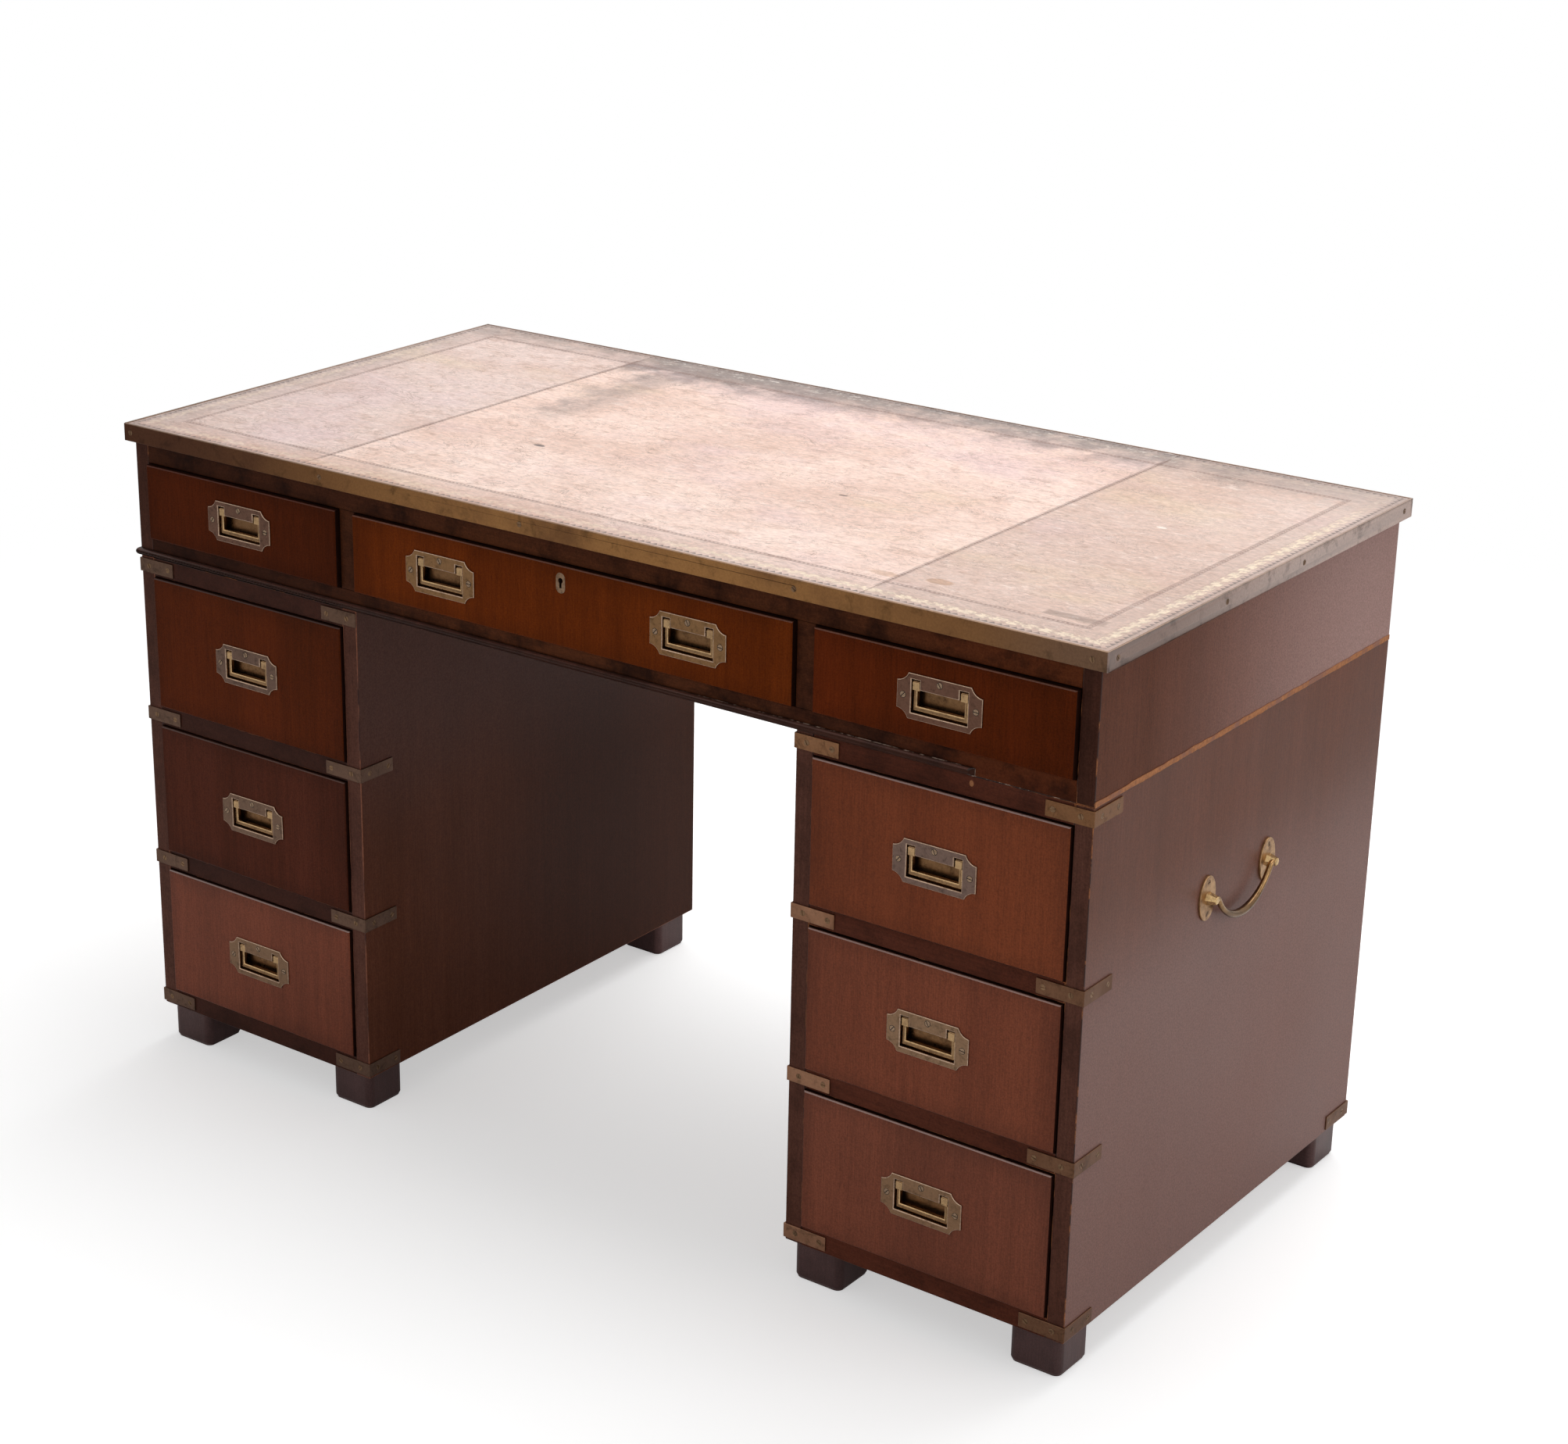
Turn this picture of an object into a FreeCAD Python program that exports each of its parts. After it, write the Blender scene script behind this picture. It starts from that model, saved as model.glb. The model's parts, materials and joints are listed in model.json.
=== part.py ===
"""A campaign desk in three sections: a leather-covered top with three drawers on two pedestals.

Millimetres, +Z up, the front faces -Y. The origin is on the floor under the middle of the desk.
"""
import FreeCAD
import Part

import collections
import math
import os

Vector = FreeCAD.Vector
UP = Vector(0, 0, 1)
RIGHT = Vector(1, 0, 0)
FORWARD = Vector(0, -1, 0)
BACKWARD = Vector(0, 1, 0)

# The whole desk, measured over the brass band and down to the floor
desk_width = 1270.0
desk_depth = 630.0
desk_height = 765.0

# Writing top
band_height = 20.0
band_thickness = 2.5
leather_thickness = 1.6
leather_drop = 0.4
leather_end_width = 272.0
leather_seam_gap = 0.6
band_front_screw_shares = (-0.985, -0.525, -0.083, 0.458, 0.975)
band_side_screw_shares = (-0.94, -0.285, 0.22, 0.94)

# Case under the writing top
case_height = 135.0
side_overhang = 9.0
front_overhang = 8.0
back_overhang = 8.0
panel_thickness = 20.0
back_thickness = 10.0
rail_depth = 40.0
top_rail_height = 23.0
base_rail_height = 22.6
divider_thickness = 22.0
dustboard_thickness = 8.0
top_runner_width = 26.0

# Bead along the foot of the case, broken off short of the right-hand corner
bead_height = 9.0
bead_projection = 4.5
bead_missing_length = 128.0
bead_break_slant = 7.0

# Pedestals
pedestal_width = 333.5
pedestal_rail_height = 22.0
pedestal_board_thickness = 15.0
pedestal_runner_width = 24.0
pedestal_bays = 3
peg_radius = 6.0
peg_rise = 6.0
peg_clearance = 0.3
peg_front_share = 0.36

# Block feet
foot_height = 45.0
foot_width = 59.0
foot_depth = 57.0
foot_inset = 6.5
foot_corner_radius = 9.0
pad_height = 3.0
pad_inset = 1.5

# Drawers
drawer_gap = 1.2
drawer_front_thickness = 20.0
top_drawer_proud = 6.0
pedestal_drawer_proud = 4.0
drawer_front_edge_radius = 2.4
drawer_side_thickness = 10.0
drawer_back_thickness = 10.0
drawer_bottom_thickness = 6.0
drawer_bottom_rise = 6.0
drawer_side_clearance = 1.5
drawer_head_room = 12.0
drawer_rear_room = 15.0
drawer_stop_width = 30.0
drawer_stop_depth = 20.0
drawer_stop_height = 4.0
drawer_stop_place_share = 0.25

# Recessed pulls
pull_width = 95.0
pull_height = 46.0
pull_thickness = 1.6
pull_scoop_width = 12.5
pull_scoop_height = 9.0
pull_scoop_depth_share = 0.66
pull_rise = 0.5
centre_pull_place_share = 0.5628227
well_width = 63.0
well_depth = 12.0
well_wall = 1.5
well_bottom_margin = 6.7
tongue_drop = 15.7
ear_slot_drop = 6.0
ear_slot_width = 9.5
pocket_clearance = 0.5
pull_screw_inset = 7.0
pull_top_screw_drop = 5.9

# Bails that fold into the pulls, each on two short pins
pin_radius = 1.5
pin_clearance = 0.08
pin_setback = 5.0
ear_radius = 3.6
ear_clearance = 0.8
ear_side_clearance = 0.75
ear_width = 8.0
arm_width = 4.5
arm_thickness = 3.0
bar_height = 6.0
bar_thickness = 4.6
bar_bevel_share = 0.32
bar_floor_gap = 3.0

# Lock of the centre drawer
escutcheon_width = 12.0
escutcheon_height = 22.0
escutcheon_depth = 4.0
escutcheon_drop = 18.6
keyhole_radius = 3.0
keyhole_slot_width = 3.0
keyhole_slot_length = 11.0
lock_width = 46.0
lock_height = 38.0
lock_depth = 9.0
lock_clearance = 0.3
bolt_width = 20.0
bolt_depth = 4.0
bolt_height = 16.0
bolt_travel = 6.0
bolt_clearance = 0.4

# Brass corner straps
strap_height = 16.0
strap_thickness = 1.6
strap_leaf = 51.0
strap_screw_places = (13.0, 43.0)

# Countersunk brass screws
screw_head_radius = 3.0
screw_head_depth = 1.4
screw_shank_radius = 1.4
screw_length = 11.0
screw_slot_width = 0.9
screw_slot_depth = 0.6
screw_clearance = 0.1
screw_turn_step = 137.5

# Carrying handles on the outer sides
carry_height = 441.0
carry_setback = 306.0
carry_spacing = 126.5
carry_plate_width = 32.0
carry_plate_height = 48.0
carry_plate_thickness = 2.5
carry_screw_spacing = 34.0
carry_post_base_radius = 8.5
carry_post_tip_radius = 6.0
carry_post_length = 12.5
carry_axis_standoff = 7.0
carry_rod_radius = 3.2
carry_rod_clearance = 0.08
carry_rod_overhang = 2.0
carry_bend_gap = 1.0
carry_upper_bend = 11.0
carry_drop_run = 5.0
carry_lower_bend = 22.0
carry_swell = 1.7
carry_swell_step = 0.15

# Cutting tools run past what they cut by this much
overrun = 2.0
edge_tolerance = 0.001

# Levels and faces that follow from the sizes above
case_top = desk_height - band_height
case_bottom = case_top - case_height
case_front = -desk_depth / 2 + front_overhang
case_back = desk_depth / 2 - back_overhang
case_side = desk_width / 2 - side_overhang
back_face = case_back - back_thickness
rail_back = case_front + rail_depth
kneehole_side = case_side - pedestal_width
bay_side = (kneehole_side + panel_thickness, case_side - panel_thickness)
divider_side = (bay_side[0] - divider_thickness, bay_side[0])
base_rail_top = case_bottom + base_rail_height
top_rail_bottom = case_top - top_rail_height
bay_height = (case_bottom - foot_height - pedestal_rail_height) / pedestal_bays - pedestal_rail_height
band_middle = desk_height - band_height / 2

Bay = collections.namedtuple("Bay", "name x z proud pulls")
Pull = collections.namedtuple("Pull", "x top face")
Screw = collections.namedtuple("Screw", "at outward")


def about(centre, size):
    return centre - size / 2, centre + size / 2


def grown(span, amount):
    return span[0] - amount, span[1] + amount


def mirrored(span, side):
    return tuple(sorted((side * span[0], side * span[1])))


def block(x, y, z):
    return Part.makeBox(x[1] - x[0], y[1] - y[0], z[1] - z[0], Vector(x[0], y[0], z[0]))


def fused(shapes):
    return shapes[0].multiFuse(shapes[1:]).removeSplitter()


def placed(shape, at, outward, turn=0.0):
    """A copy of a shape drawn on the origin, with its +Z turned to the outward direction."""
    copy = shape.copy()
    spin = FreeCAD.Rotation(UP, turn)
    copy.Placement = FreeCAD.Placement(at, FreeCAD.Rotation(UP, outward).multiply(spin))
    return copy


def save(name, solids):
    Part.makeCompound(solids).exportStep(f"parts/{name}.step")


def screw_shape():
    """A slotted countersunk screw, its head flush with the origin plane."""
    shank = Part.makeCylinder(screw_shank_radius, screw_length, Vector(0, 0, -screw_length))
    head = Part.makeCone(screw_shank_radius, screw_head_radius, screw_head_depth,
                         Vector(0, 0, -screw_head_depth))
    slot = block(about(0, screw_slot_width), grown((0, 0), screw_head_radius + overrun),
                 (-screw_slot_depth, overrun))
    return fused([shank, head]).cut(slot)


def screw_hole():
    """The space that a screw takes, with its clearance and a run out through the surface."""
    radius = screw_shank_radius + screw_clearance
    shank = Part.makeCylinder(radius, screw_length + screw_clearance,
                              Vector(0, 0, -screw_length - screw_clearance))
    head = Part.makeCone(radius, screw_head_radius + screw_clearance, screw_head_depth,
                         Vector(0, 0, -screw_head_depth))
    mouth = Part.makeCylinder(screw_head_radius + screw_clearance, overrun)
    return fused([shank, head, mouth])


def made_screws(screws):
    shape = screw_shape()
    return [placed(shape, s.at, s.outward, screw_turn_step * i) for i, s in enumerate(screws)]


def drilled(shape, screws):
    """Cuts the holes of those screws that reach into the shape."""
    reach = FreeCAD.BoundBox(shape.BoundBox)
    reach.enlarge(screw_length)
    hole = screw_hole()
    holes = [placed(hole, s.at, s.outward) for s in screws if reach.isInside(s.at)]
    return shape.cut(Part.makeCompound(holes)) if holes else shape


# Bays and pulls

def pull_at(x, bay_z, proud):
    centre = (bay_z[0] + bay_z[1]) / 2 - pull_rise
    return Pull(x, centre + pull_height / 2, case_front - proud - pull_thickness)


def top_bays():
    z = (base_rail_top, top_rail_bottom)
    pull_x = centre_pull_place_share * divider_side[0]
    centre_pulls = [pull_at(side * pull_x, z, top_drawer_proud) for side in (-1, 1)]
    centre_x = (-divider_side[0], divider_side[0])
    bays = [Bay("top_centre", centre_x, z, top_drawer_proud, centre_pulls)]
    for side, name in ((-1, "top_left"), (1, "top_right")):
        x = mirrored(bay_side, side)
        pull = pull_at((x[0] + x[1]) / 2, z, top_drawer_proud)
        bays.append(Bay(name, x, z, top_drawer_proud, [pull]))
    return bays


def bay_floor(level):
    """The top of the rail under a pedestal bay, counted from the lowest bay."""
    return foot_height + pedestal_rail_height + level * (bay_height + pedestal_rail_height)


def pedestal_bays_of(side, name):
    x = mirrored(bay_side, side)
    bays = []
    for level, floor_name in enumerate(("lower", "middle", "upper")):
        z = (bay_floor(level), bay_floor(level) + bay_height)
        pull = pull_at((x[0] + x[1]) / 2, z, pedestal_drawer_proud)
        bays.append(Bay(f"{name}_{floor_name}", x, z, pedestal_drawer_proud, [pull]))
    return bays


def pull_well(pull):
    """The well under the tongue and the two ear slots beside it, as pairs of X and Z spans."""
    well_x = about(pull.x, well_width)
    floor = pull.top - pull_height + well_bottom_margin
    tongue = pull.top - tongue_drop
    slot_z = (floor, pull.top - ear_slot_drop)
    return [(well_x, (floor, tongue)),
            ((well_x[0], well_x[0] + ear_slot_width), slot_z),
            ((well_x[1] - ear_slot_width, well_x[1]), slot_z)]


def well_solid(pull, margin, y):
    return fused([block(grown(x, margin), y, grown(z, margin)) for x, z in pull_well(pull)])


def pull_screws(pull):
    middle = pull.top - pull_height / 2
    side = pull_width / 2 - pull_screw_inset
    return [Screw(Vector(pull.x - side, pull.face, middle), FORWARD),
            Screw(Vector(pull.x + side, pull.face, middle), FORWARD),
            Screw(Vector(pull.x, pull.face, pull.top - pull_top_screw_drop), FORWARD)]


def pull_outline(pull):
    """The plate's front face, a rectangle with its four corners scooped out."""
    x0, x1 = about(pull.x, pull_width)
    z0, z1 = pull.top - pull_height, pull.top
    corners = [(x1, z1, -1, -1), (x0, z1, 1, -1), (x0, z0, 1, 1), (x1, z0, -1, 1)]
    points = []
    for x, z, dx, dz in corners:
        along_x = Vector(x + dx * pull_scoop_width, pull.face, z)
        along_z = Vector(x, pull.face, z + dz * pull_scoop_height)
        deep = Vector(x + dx * pull_scoop_width * pull_scoop_depth_share, pull.face,
                      z + dz * pull_scoop_height * pull_scoop_depth_share)
        points.append((along_z, deep, along_x) if dx * dz > 0 else (along_x, deep, along_z))
    edges = []
    for i, (start, deep, end) in enumerate(points):
        edges.append(Part.Arc(start, deep, end).toShape())
        edges.append(Part.LineSegment(end, points[(i + 1) % len(points)][0]).toShape())
    return Part.Face(Part.Wire(edges))


def pull_plate(pull):
    """Plate, well and hinge pins of one recessed pull, with its three screws."""
    plate = pull_outline(pull).extrude(BACKWARD * pull_thickness)
    shell_y = (pull.face, pull.face + well_depth + well_wall)
    body = fused([plate, well_solid(pull, well_wall, shell_y)])
    body = body.cut(well_solid(pull, 0, (pull.face - overrun, pull.face + well_depth)))
    screws = pull_screws(pull)
    pins = [Part.makeCylinder(pin_radius, ear_slot_width, Vector(x[0], *pin_axis(pull)), RIGHT)
            for x, _ in pull_well(pull)[1:]]
    return [drilled(body, screws)] + pins + made_screws(screws)


def pin_axis(pull):
    """Y and Z of the hinge pins' axis."""
    return pull.face + pin_setback, pull.top - ear_slot_drop - ear_clearance - ear_radius


def pull_bail(pull):
    """The folding bail: two ears on the pins, two flat arms and a bevelled bar."""
    pin_y, pin_z = pin_axis(pull)
    x = grown(about(pull.x, well_width), -ear_side_clearance)
    bar_bottom = pull.top - pull_height + well_bottom_margin + bar_floor_gap
    bar_z = (bar_bottom, bar_bottom + bar_height)
    pieces = []
    for ear_x, arm_x in (((x[0], x[0] + ear_width), (x[0], x[0] + arm_width)),
                         ((x[1] - ear_width, x[1]), (x[1] - arm_width, x[1]))):
        pieces.append(Part.makeCylinder(ear_radius, ear_width, Vector(ear_x[0], pin_y, pin_z), RIGHT))
        pieces.append(block(arm_x, about(pin_y, arm_thickness), (bar_bottom, pin_z)))
    pieces.append(bail_bar(x, about(pin_y, bar_thickness), bar_z))
    holes = Part.makeCylinder(pin_radius + pin_clearance, well_width,
                              Vector(pull.x - well_width / 2, pin_y, pin_z), RIGHT)
    return fused(pieces).cut(holes)


def bail_bar(x, y, z):
    """A bar along X whose front is bevelled above and below."""
    bevel = bar_bevel_share * (z[1] - z[0])
    section = [(y[1], z[0]), (y[1], z[1]), (y[0] + bevel, z[1]), (y[0], z[1] - bevel),
               (y[0], z[0] + bevel), (y[0] + bevel, z[0])]
    corners = [Vector(x[0], *p) for p in section]
    face = Part.Face(Part.makePolygon(corners + corners[:1]))
    return face.extrude(RIGHT * (x[1] - x[0]))


# Drawers

def front_face(bay):
    return case_front - bay.proud


def drawer_front(bay):
    face = front_face(bay)
    front = block(grown(bay.x, -drawer_gap), (face, face + drawer_front_thickness), grown(bay.z, -drawer_gap))
    edges = [e for e in front.Edges if e.BoundBox.YMax < face + edge_tolerance]
    front = front.makeFillet(drawer_front_edge_radius, edges)
    for pull in bay.pulls:
        depth = pull.face + well_depth + well_wall + pocket_clearance
        front = front.cut(well_solid(pull, well_wall + pocket_clearance, (face - overrun, depth)))
        front = drilled(front, pull_screws(pull))
    return front


def drawer_box(bay):
    """Two sides, a back and a bottom, resting on the rail and the runners."""
    front = front_face(bay) + drawer_front_thickness
    rear = back_face - drawer_rear_room
    x = grown(bay.x, -drawer_side_clearance)
    inside = grown(x, -drawer_side_thickness)
    side_z = (bay.z[0], bay.z[1] - drawer_head_room)
    bottom_z = (bay.z[0] + drawer_bottom_rise, bay.z[0] + drawer_bottom_rise + drawer_bottom_thickness)
    return [block((x[0], inside[0]), (front, rear), side_z),
            block((inside[1], x[1]), (front, rear), side_z),
            block(inside, (rear - drawer_back_thickness, rear), (bottom_z[1], side_z[1])),
            block(inside, (front, rear), bottom_z)]


def drawer_stops(bay):
    """Two thin blocks on the rail that the back of the drawer front comes up against."""
    back = front_face(bay) + drawer_front_thickness
    width = bay.x[1] - bay.x[0]
    places = (bay.x[0] + drawer_stop_place_share * width, bay.x[1] - drawer_stop_place_share * width)
    z = (bay.z[0], bay.z[0] + drawer_stop_height)
    return [block(about(x, drawer_stop_width), (back, back + drawer_stop_depth), z) for x in places]


# Lock of the centre drawer

def key_axis(bay):
    return bay.z[1] - drawer_gap - escutcheon_drop


def keyhole(bay, y):
    """A round hole over a straight slot, cut between two Y places."""
    z = key_axis(bay) + keyhole_slot_length / 2 - keyhole_radius
    eye = Part.makeCylinder(keyhole_radius, y[1] - y[0], Vector(0, y[0], z), BACKWARD)
    slot = block(about(0, keyhole_slot_width), y, (z - keyhole_slot_length + keyhole_radius, z))
    return fused([eye, slot])


def escutcheon_solid(bay, margin, y):
    """A plug with a round head and foot that lines the keyhole."""
    radius = escutcheon_width / 2
    half = escutcheon_height / 2 - radius
    z = key_axis(bay)
    shapes = [block(about(0, escutcheon_width + 2 * margin), y, grown((z, z), half))]
    for end in (z - half, z + half):
        shapes.append(Part.makeCylinder(radius + margin, y[1] - y[0], Vector(0, y[0], end), BACKWARD))
    return fused(shapes)


def lock_space(bay, margin):
    """The lock case, set into the back of the drawer front from its upper edge."""
    top = bay.z[1] - drawer_gap
    back = front_face(bay) + drawer_front_thickness
    return block(about(0, lock_width + 2 * margin), (back - lock_depth - margin, back),
                 (top - lock_height - margin, top))


def bolt_space(bay, margin, low, high):
    back = front_face(bay) + drawer_front_thickness
    return block(grown(about(0, bolt_width), margin), grown(about(back - lock_depth / 2, bolt_depth), margin),
                 (low, high))


def bolt_span(bay):
    top = bay.z[1] - drawer_gap
    return top - bolt_height, top


def lock_pieces(bay):
    """Lock case with its bolt way, and the brass plug round the keyhole."""
    face = front_face(bay)
    low, high = bolt_span(bay)
    case = lock_space(bay, 0).cut(bolt_space(bay, bolt_clearance, low - bolt_clearance, high + overrun))
    back = face + drawer_front_thickness
    case = case.cut(keyhole(bay, (back - lock_depth - overrun, back - lock_depth / 2)))
    plug = escutcheon_solid(bay, 0, (face, face + escutcheon_depth))
    plug = plug.cut(keyhole(bay, (face - overrun, face + escutcheon_depth + overrun)))
    return [case, plug]


def locked_front(bay):
    """The centre drawer's front, cut for its lock."""
    face = front_face(bay)
    back = face + drawer_front_thickness
    plug_way = escutcheon_solid(bay, screw_clearance, (face - overrun, face + escutcheon_depth))
    upper = lock_space(bay, lock_clearance)
    return drawer_front(bay).cut(plug_way).cut(keyhole(bay, (face, back))).cut(upper)


def lock_mortise(bay):
    """The slot in the rail over the drawer that takes the bolt."""
    _, top = bolt_span(bay)
    return bolt_space(bay, bolt_clearance, top, top + bolt_travel + bolt_clearance)


# Top section

def band_strips():
    z = (case_top, desk_height)
    x, y = about(0, desk_width), about(0, desk_depth)
    inside = grown(y, -band_thickness)
    return [block(x, (y[0], inside[0]), z), block(x, (inside[1], y[1]), z),
            block((x[0], x[0] + band_thickness), inside, z), block((x[1] - band_thickness, x[1]), inside, z)]


def band_screws():
    half_x, half_y = desk_width / 2, desk_depth / 2
    screws = []
    for side in (-1, 1):
        for share in band_front_screw_shares:
            screws.append(Screw(Vector(share * half_x, side * half_y, band_middle), BACKWARD * side))
        for share in band_side_screw_shares:
            screws.append(Screw(Vector(side * half_x, share * half_y, band_middle), RIGHT * side))
    return screws


def leather_skins():
    """Three skins that meet at two seams."""
    top = desk_height - leather_drop
    y = grown(about(0, desk_depth), -band_thickness)
    x0, x1 = grown(about(0, desk_width), -band_thickness)
    seam = desk_width / 2 - leather_end_width
    seams = [about(side * seam, leather_seam_gap) for side in (-1, 1)]
    spans = ((x0, seams[0][0]), (seams[0][1], seams[1][0]), (seams[1][1], x1))
    return [block(x, y, (top - leather_thickness, top)) for x in spans]


def top_board():
    x = grown(about(0, desk_width), -band_thickness)
    y = grown(about(0, desk_depth), -band_thickness)
    return block(x, y, (case_top, desk_height - leather_drop - leather_thickness))


def end_panels():
    return [block(mirrored((case_side - panel_thickness, case_side), side), (case_front, case_back),
                  (case_bottom, case_top)) for side in (-1, 1)]


def case_back_panel():
    inside = case_side - panel_thickness
    return block((-inside, inside), (back_face, case_back), (case_bottom, case_top))


def bead_section(x, y, across):
    """A half-round face standing on the case's foot at a corner, its round side outwards."""
    low = Vector(x, y, case_bottom)
    high = Vector(x, y, case_bottom + bead_height)
    middle = (low + high) / 2 + across * bead_projection
    outline = [Part.Arc(low, middle, high).toShape(), Part.LineSegment(high, low).toShape()]
    return Part.Face(Part.Wire(outline))


def prism(points):
    """A cutting block over a plan outline, taller than the bead."""
    low = case_bottom - overrun
    corners = [Vector(x, y, low) for x, y in points]
    face = Part.Face(Part.makePolygon(corners + corners[:1]))
    return face.extrude(UP * (bead_height + overrun + overrun))


def base_bead():
    """The bead along the front, broken off at a slant, and its mitred return along the left end."""
    left, front = -case_side, case_front
    out_left, out_front = left - bead_projection, front - bead_projection
    far_front = out_front - overrun
    end = case_side - bead_missing_length
    far = bead_projection + overrun
    mitre = (left - far, front - far)
    front_strip = bead_section(out_left, front, FORWARD).extrude(RIGHT * (end - out_left))
    front_strip = front_strip.cut(prism([(left, front), mitre, (left - far, front)]))
    broken = (end - bead_break_slant, out_front)
    front_strip = front_strip.cut(prism([(end, front), broken, (broken[0], far_front),
                                         (end + overrun, far_front), (end + overrun, front)]))
    side_strip = bead_section(left, out_front, -RIGHT).extrude(BACKWARD * (case_back - out_front))
    side_strip = side_strip.cut(prism([(left, front), mitre, (left, front - far)]))
    return [front_strip, side_strip]


def front_frame(centre_bay):
    """Rails over and under the drawers, the two dividers between them and the base bead."""
    inside = case_side - panel_thickness
    y = (case_front, rail_back)
    top_rail = block((-inside, inside), y, (top_rail_bottom, case_top)).cut(lock_mortise(centre_bay))
    base_rail = block((-inside, inside), y, (case_bottom, base_rail_top))
    dividers = [block(mirrored(divider_side, side), y, (base_rail_top, top_rail_bottom)) for side in (-1, 1)]
    return [top_rail, base_rail] + dividers + base_bead()


def case_insides(bays):
    """Dustboard, partitions behind the dividers, and the runners and stops of each drawer."""
    inside = case_side - panel_thickness
    y = (rail_back, back_face)
    floor = case_bottom + dustboard_thickness
    board = block((-inside, inside), y, (case_bottom, floor))
    holes = [Part.makeCylinder(peg_radius + peg_clearance, dustboard_thickness + overrun,
                               Vector(x, py, case_bottom - overrun)) for x, py in peg_places()]
    solids = [board.cut(Part.makeCompound(holes))]
    solids += [block(mirrored(divider_side, side), y, (floor, case_top)) for side in (-1, 1)]
    for bay in bays:
        solids += drawer_stops(bay)
        for runner_x in ((bay.x[0], bay.x[0] + top_runner_width), (bay.x[1] - top_runner_width, bay.x[1])):
            solids.append(block(runner_x, y, (floor, base_rail_top)))
    return solids


# Pedestals

def peg_places():
    y = peg_front_share * (case_back - case_front)
    middle = case_side - pedestal_width / 2
    return [(side * middle, end * y) for side in (-1, 1) for end in (-1, 1)]


def pedestal_sides(side):
    z = (foot_height, case_bottom)
    y = (case_front, case_back)
    outer = mirrored((case_side - panel_thickness, case_side), side)
    inner = mirrored((kneehole_side, kneehole_side + panel_thickness), side)
    return [block(outer, y, z), block(inner, y, z)]


def pedestal_boards(side):
    """Back, top and bottom boards, and the pegs that locate the top section."""
    x = mirrored(bay_side, side)
    y = (rail_back, back_face)
    solids = [block(x, (back_face, case_back), (foot_height, case_bottom)),
              block(x, y, (case_bottom - pedestal_board_thickness, case_bottom)),
              block(x, y, (foot_height, foot_height + pedestal_board_thickness))]
    for px, py in peg_places():
        if px * side > 0:
            solids.append(Part.makeCylinder(peg_radius, peg_rise, Vector(px, py, case_bottom)))
    return solids


def rail_levels():
    """Z spans of the four front rails, from the lowest up."""
    floors = [bay_floor(level) - pedestal_rail_height for level in range(pedestal_bays + 1)]
    return [(z, z + pedestal_rail_height) for z in floors]


def pedestal_rails(side, bays):
    """Front rails, and the runners and stops of each drawer."""
    x = mirrored(bay_side, side)
    solids = [block(x, (case_front, rail_back), z) for z in rail_levels()]
    for level, (low, high) in enumerate(rail_levels()[:pedestal_bays]):
        foot = low if level else foot_height + pedestal_board_thickness
        for runner_x in ((x[0], x[0] + pedestal_runner_width), (x[1] - pedestal_runner_width, x[1])):
            solids.append(block(runner_x, (rail_back, back_face), (foot, high)))
    for bay in bays:
        solids += drawer_stops(bay)
    return solids


def strap_corners(side):
    """Each strap's corner: X face, outward X, Y face, outward Y, rail span, and if it has a side leaf."""
    outer, inner = side * case_side, side * kneehole_side
    corners = []
    for level, z in enumerate(rail_levels()):
        corners.append((outer, side, case_front, -1, z, True))
        flat = side < 0 and level == pedestal_bays
        corners.append((inner, -side, case_front, -1, z, not flat))
    corners.append((outer, side, case_back, 1, rail_levels()[0], True))
    return corners


def strap(corner):
    """An angle of flat brass over the end of a rail, one leaf on each face of the corner."""
    x, out_x, y, out_y, rail, has_side = corner
    z = about((rail[0] + rail[1]) / 2, strap_height)
    reach = strap_thickness if has_side else 0
    front = block(tuple(sorted((x - out_x * strap_leaf, x + out_x * reach))),
                  tuple(sorted((y, y + out_y * strap_thickness))), z)
    if not has_side:
        return front
    side = block(tuple(sorted((x, x + out_x * strap_thickness))),
                 tuple(sorted((y - out_y * strap_leaf, y + out_y * strap_thickness))), z)
    return fused([front, side])


def strap_screws(corner):
    x, out_x, y, out_y, rail, has_side = corner
    z = (rail[0] + rail[1]) / 2
    screws = []
    for place in strap_screw_places:
        screws.append(Screw(Vector(x - out_x * place, y + out_y * strap_thickness, z), BACKWARD * out_y))
        if has_side:
            screws.append(Screw(Vector(x + out_x * strap_thickness, y - out_y * place, z), RIGHT * out_x))
    return screws


def feet():
    """A rounded block and a thin pad under each corner of each pedestal."""
    solids = []
    for side in (-1, 1):
        for x_low in (kneehole_side + foot_inset, case_side - foot_inset - foot_width):
            x = mirrored((x_low, x_low + foot_width), side)
            for y_low in (case_front + foot_inset, case_back - foot_inset - foot_depth):
                y = (y_low, y_low + foot_depth)
                foot = block(x, y, (pad_height, foot_height))
                corners = [e for e in foot.Edges if e.BoundBox.ZLength > pad_height]
                solids.append(foot.makeFillet(foot_corner_radius, corners))
                pad = block(grown(x, -pad_inset), grown(y, -pad_inset), (0, pad_height))
                corners = [e for e in pad.Edges if e.BoundBox.ZLength > edge_tolerance]
                solids.append(pad.makeFillet(foot_corner_radius - pad_inset, corners))
    return solids


# Carrying handles

def carry_posts():
    """Y of the two posts of a handle."""
    return about(-desk_depth / 2 + carry_setback, carry_spacing)


def carry_axis(side):
    return side * (case_side + carry_plate_thickness + carry_axis_standoff)


def carry_screws(side):
    face = side * (case_side + carry_plate_thickness)
    return [Screw(Vector(face, y, z), RIGHT * side)
            for y in carry_posts() for z in about(carry_height, carry_screw_spacing)]


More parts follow.
